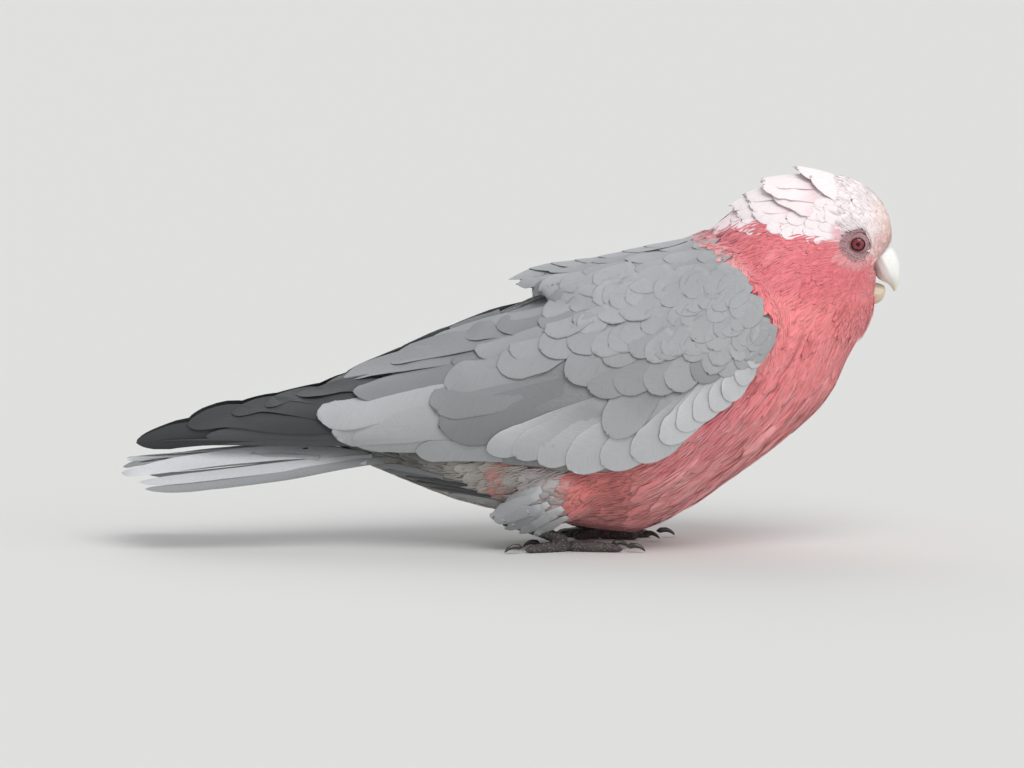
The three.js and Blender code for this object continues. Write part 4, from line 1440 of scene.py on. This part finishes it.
# %% Tail feathers
TAIL_FEATHERS = [
    # the lowest feather, with lightness 150, is painted darker: painted shade where it lies under the
    # others
    (-161, 36.8, -80, 45, 2.8, 172, -0.8), (-156, 36, -85, 42.5, 1.2, 66, -0.5),
    (-163.2, 31.8, -60, 42.5, 5.6, 206, -2), (-155.6, 29.3, -58, 40.7, 3.0, 192, 0.6),
    (-153, 26.6, -52, 39, 2.2, 150, 1.4),
]
TAIL_TOP = [(-161.5, 85, -60, 85, 4.6, 176)]
TAIL_AXIS = 15.0  # height of the axis that the middle pair is placed round
for side, seed, replaced in (("right", 100, ["tail"]), ("left", 101, [])):
    hand_laid(f"tail_{side}", tail_bed, side, TAIL_FEATHERS, POINTED, "plumage_tail", STIFF, seed,
              replaced, top=-0.1, slope=0.01, deepest=1.2, tilt=0.05)
    hand_laid(f"tail_top_{side}", tail_bed, side, TAIL_TOP, POINTED, "plumage_tail", STIFF, seed + 2,
              top=0.3, slope=0.01, deepest=1.2, tilt=0.0, round_back=TAIL_AXIS)

# %% [markdown]
# ## The crest
# At rest a galah's crest lies back over the crown in tiers, and the tips stand a little off the
# nape. Walked over the crown the feathers would cling to it to the very tip. So each is a broad,
# soft blade on a line of its own: it leaves the crown at the root, rises in a low bow and ends free.

# %% Crest feathers
# root x, spread in degrees | half width | tip x, z and how far the tips spread
TIERS = [
    (149, 34, 7.2, 119.5, 160.0, 9), (137, 46, 8.2, 105.5, 154.8, 12), (125, 54, 7.4, 98, 148.3, 15),
    (115, 50, 6.4, 92.0, 143.6, 15),
]
CROWN_AXIS = 124  # height of a level line inside the head, which the crest spreads round
BOW = 1.6
CREST = (14, 6, 1.25, 0.5)
dice = np.random.default_rng(110)
columns = columns_of(CREST[0])
lines, outwards, halves, heights = [], [], [], []
for tier, (x, spread, half, tip_x, tip_z, wide) in enumerate(TIERS):
    for share in np.linspace(-1, 1, 5 if tier == 0 else 7):
        angle = math.radians(spread * share)
        out = Vector((0, math.sin(angle), math.cos(angle)))
        top, _, _, _ = flesh.ray_cast(Vector((x, 0, CROWN_AXIS)) * MM, out)
        root = np.array(top) / MM - 1.2 * np.array(out)
        drop = share * share
        back = tip_x + 5 * drop + dice.uniform(-3, 2) * abs(share)
        tip = np.array([back, wide * share, tip_z - 0.32 * wide * drop])
        line = root + (tip - root) * columns[:, None]
        outward = line - [0, 0, CROWN_AXIS]
        outward[:, 0] = 0
        outward /= np.linalg.norm(outward, axis=1, keepdims=True)
        lines.append(line + outward * (BOW * np.sin(np.pi * columns) ** 0.9)[:, None])
        outwards.append(outward)
        halves.append(half * dice.uniform(0.8, 1.0))
        heights.append(-0.4 * drop)
count = len(halves)
levels = -0.6 + np.array(heights)[:, None] + 0.7 * step(columns, 0, 0.5)[None]
tones = np.tile(CAP_WHITE, (count, 1)) * (1 + 0.012 * dice.normal(size=(count, 1)))
lay("crest_feathers", (np.array(lines), np.array(outwards)), np.array(halves), levels, tones, CREST,
    dice, SOFT, ["crest"], arch=0.3, thick=0.07, fray=0.06, shade=(0.98, 1.0),
    base=(CAP_EDGE + CAP_WHITE) / 2)

# %% [markdown]
# ## The bill
# A bill is horn over bone: smooth, pale, with faint growth lines. It could be sculpted anew, but the
# solids already have its shape, so copies of them are made smooth by a fine remesh. The same helper
# serves legs and claws later, where it also raises scales by a pattern of cells.

# %% Bill
def horn(name, low, high):
    """Horn that turns from one colour to another towards its tip, with faint growth lines."""
    f = Finish(name)
    place = f.place()
    x, y, z = f.parts(place)
    lines = f.noise(f.joined(x * 500.0, y * 300.0, z * 900.0), 1.0, 3.0)
    down = 1 - (z + lines * 0.004).ramp(0.104, 0.118)
    shown = f.blend(down, rgba(low), rgba(high))
    shown = f.blend(lines.ramp(0.5, 0.8) * 0.25, shown, rgba(low * 0.6))
    return f.done(Base_Color=shown, Roughness=lines * 0.2 + 0.28, Normal=f.bump(lines, 0.00025, 0.5),
                  Specular_IOR_Level=0.45, Coat_Weight=0.15, Coat_Roughness=0.25)


def smooth_piece(name, nodes, voxel, rounds, material, scales=0.0):
    """A carried-over solid with its facets smoothed away, and scales raised where it has them."""
    shape = smooth_form(name, nodes, voxel, rounds)
    for vert in shape.verts if scales else []:
        gaps, _ = noise.voronoi(vert.co / (scales * MM))
        vert.co += vert.normal * (0.16 * min((gaps[1] - gaps[0]) / 0.35, 1.0) - 0.06) * MM
    return dressed(new_object(name, shape, smooth=True), material, nodes)


smooth_piece("bill_upper_horn", ["bill_upper"], 0.35, 6,
             horn("bill_horn", paint(238, 238, 234), paint(214, 204, 164)))
smooth_piece("bill_lower_horn", ["bill_lower"], 0.35, 4,
             horn("mandible_horn", paint(216, 206, 188), paint(206, 192, 164)))

# %% [markdown]
# ## The tongue
# A parrot's tongue is thick and dark, and lies in the gap between the two halves of the bill. A
# sculpted one would hardly be seen, as only its front shows there. So a flattened ball is enough,
# tipped a little as the lower bill is.

# %% Tongue
tongue = bmesh.new()
bmesh.ops.create_uvsphere(tongue, u_segments=32, v_segments=20, radius=1)
bmesh.ops.scale(tongue, verts=tongue.verts[:], vec=Vector((4.6, 2.6, 1.7)) * MM)
bmesh.ops.rotate(tongue, verts=tongue.verts[:], matrix=Matrix.Rotation(math.radians(12), 3, "Y"))
bmesh.ops.translate(tongue, verts=tongue.verts[:], vec=Vector((150.2, 0, 109.6)) * MM)
f = Finish("tongue_skin")
grain = f.noise(f.place(), 900.0, 3.0)
shown = f.blend(grain, rgba(paint(78, 62, 60)), rgba(paint(118, 92, 88)))
tongue_finish = f.done(Base_Color=shown, Roughness=0.5, Normal=f.bump(grain, 0.0002, 0.6))
tongue_piece = dressed(new_object("tongue", tongue, smooth=True), tongue_finish)
print("tongue has", len(tongue_piece.data.polygons), "faces")

# %% [markdown]
# ## The eyes
# A galah's eye is a wet globe: a dark rim, a maroon iris with fine spokes, and a black pupil. Iris
# and pupil could be discs behind a clear cap, but at this size only the rings of colour show. So the
# finish draws them by the distance from the eye's middle, under a clear coat.

# %% Eyes
SPOKES = 2600.0
f = Finish("eye_finish")
x, _, z = f.parts(f.place())
dx = x - float(EYE[0] * MM)
dz = z - float(EYE[2] * MM)
reach = (dx * dx + dz * dz).root() * 1000.0  # in millimetres
around = [shift * SPOKES / (reach + 0.3) for shift in (dx, dz)]
spokes = f.noise(f.joined(*around, reach), 1.0, 2.0)
iris = f.blend(spokes.ramp(0.35, 0.7), rgba(paint(112, 34, 42)), rgba(paint(150, 62, 70)))
iris = f.blend(reach.ramp(1.9, 2.65), iris, rgba(paint(88, 26, 32)))
iris = f.blend(1 - reach.ramp(0.85, 1.0), iris, (0.004, 0.003, 0.003, 1.0))
iris = f.blend(reach.ramp(2.6, 2.85), iris, rgba(paint(30, 14, 16)))
eye_finish = f.done(Base_Color=iris, Roughness=0.3, Specular_IOR_Level=0.15, Coat_Weight=1.0,
                    Coat_Roughness=0.02, Coat_IOR=1.38)
for side, sign in SIDES.items():
    globe = bmesh.new()
    bmesh.ops.create_uvsphere(globe, u_segments=64, v_segments=40, radius=EYE_RADIUS * MM)
    middle = Vector((EYE[0], -EYE[1] * sign, EYE[2])) * MM
    bmesh.ops.translate(globe, verts=globe.verts[:], vec=middle)
    dressed(new_object(f"eyeball_{side}", globe, smooth=True), eye_finish, [f"eye_{side}"])
print("two eyes,", round(2 * EYE_RADIUS, 1), "mm across")

# %% [markdown]
# ## Legs and claws
# Shanks and toes wear small horny scales, and the claws are dark horn. Scales could be left to the
# finish alone, but from close by they break the outline, so the helper for the bill raises each
# cell a little as well. The finish then darkens the gaps between them.

# %% Finishes of legs and claws
f = Finish("leg_skin")
place = f.place()
grains = f.cells(place, 900.0)
broad = f.noise(place, 160.0, 3.0)
shown = f.blend(grains.ramp(0.1, 0.5), rgba(paint(112, 106, 104)), rgba(paint(66, 60, 60)))
shown = f.blend(broad.ramp(0.4, 0.7) * 0.5, shown, rgba(paint(92, 84, 80)))
leg_finish = f.done(Base_Color=shown, Roughness=broad * 0.2 + 0.55,
                    Normal=f.bump(1 - grains, 0.0004, 0.9), Specular_IOR_Level=0.35)
f = Finish("claw_horn")
place = f.place()
lines = f.noise(place, 420.0, 3.0)
shown = f.blend(lines.ramp(0.3, 0.7), (0.014, 0.013, 0.013, 1.0), (0.05, 0.045, 0.042, 1.0))
claw_finish = f.done(Base_Color=shown, Roughness=lines * 0.2 + 0.25,
                     Normal=f.bump(lines, 0.0001, 0.5), Coat_Weight=0.2, Coat_Roughness=0.2)
print("finishes:", leg_finish.name, "and", claw_finish.name)

# %% Legs and claws
CLAWS = ["inner_front", "outer_front", "inner_back", "outer_back"]
SCALE_SIZE = 1.5
for side in SIDES:
    smooth_piece(f"leg_{side}", [f"shank_{side}", f"foot_{side}"], 0.4, 4, leg_finish,
                 SCALE_SIZE)
    smooth_piece(f"claws_{side}", [f"claw_{toe}_{side}" for toe in CLAWS], 0.3, 3,
                 claw_finish)

# %% [markdown]
# ## Floor, light and camera
# A museum shows such a model on a plain pale ground under large soft lamps. Lamps that stand near
# would light the head more than the tail, so all three are far ones with a wide spread. The camera
# looks at the right side from a little above, from far enough that the proportions stay true.

# %% Floor
FLOOR_HALF = 6.0  # in metres, as all of the stage
floor = bmesh.new()
bmesh.ops.create_grid(floor, x_segments=1, y_segments=1, size=FLOOR_HALF)
edge = [e for e in floor.edges if all(v.co.y > FLOOR_HALF - 0.1 for v in e.verts)]
raised = bmesh.ops.extrude_edge_only(floor, edges=edge)["geom"]
raised = [v for v in raised if isinstance(v, bmesh.types.BMVert)]
bmesh.ops.translate(floor, verts=raised, vec=(0, 30, 0))
floor_piece = new_object("floor", floor)
f = Finish("pale_floor")
floor_piece.data.materials.append(f.done(Base_Color=(0.62, 0.62, 0.60, 1.0), Roughness=0.9))
print("floor has", len(floor_piece.data.polygons), "faces")


# %% Lamps and air
def aimed(piece, place, target):
    """Moves a lamp or camera to a place, and turns it towards a target."""
    piece.location = place
    piece.rotation_euler = (target - piece.location).to_track_quat("-Z", "Y").to_euler()


def lamp(name, place, spread, power):
    """A wide, soft light from a far place, which lights the whole floor alike."""
    light = bpy.data.lights.new(name, "SUN")
    light.angle = math.radians(spread)
    light.energy = power
    aimed(placed(name, light), Vector(place), Vector())


lamp("key_lamp", (0.5, -1.1, 1.7), spread=40, power=1.75)
lamp("fill_lamp", (1.5, -1.0, 0.5), spread=60, power=0.75)
lamp("back_lamp", (-0.3, 1.4, 1.3), spread=50, power=0.7)
world = bpy.data.worlds.new("studio_air")
world.use_nodes = True
air = world.node_tree.nodes["Background"]
air.inputs["Color"].default_value = (0.9, 0.92, 0.95, 1.0)
air.inputs["Strength"].default_value = 0.55
bpy.context.scene.world = world
bpy.context.scene.view_settings.view_transform = "Standard"
print(len(bpy.data.lights), "lamps")

# %% Camera
ELEVATION = math.radians(6.5)
DISTANCE = 6.0
VIEW_WIDTH = 0.430
SENSOR = 36
lens = bpy.data.cameras.new("camera")
camera = placed("camera", lens)
aim = Vector((0.0006, 0, 0.068))
aimed(camera, aim + DISTANCE * Vector((0, -math.cos(ELEVATION), math.sin(ELEVATION))), aim)
lens.sensor_width = SENSOR
lens.lens = SENSOR * DISTANCE / VIEW_WIDTH
bpy.context.scene.camera = camera
print("camera", [round(c, 3) for c in camera.location], "lens", round(lens.lens, 1))
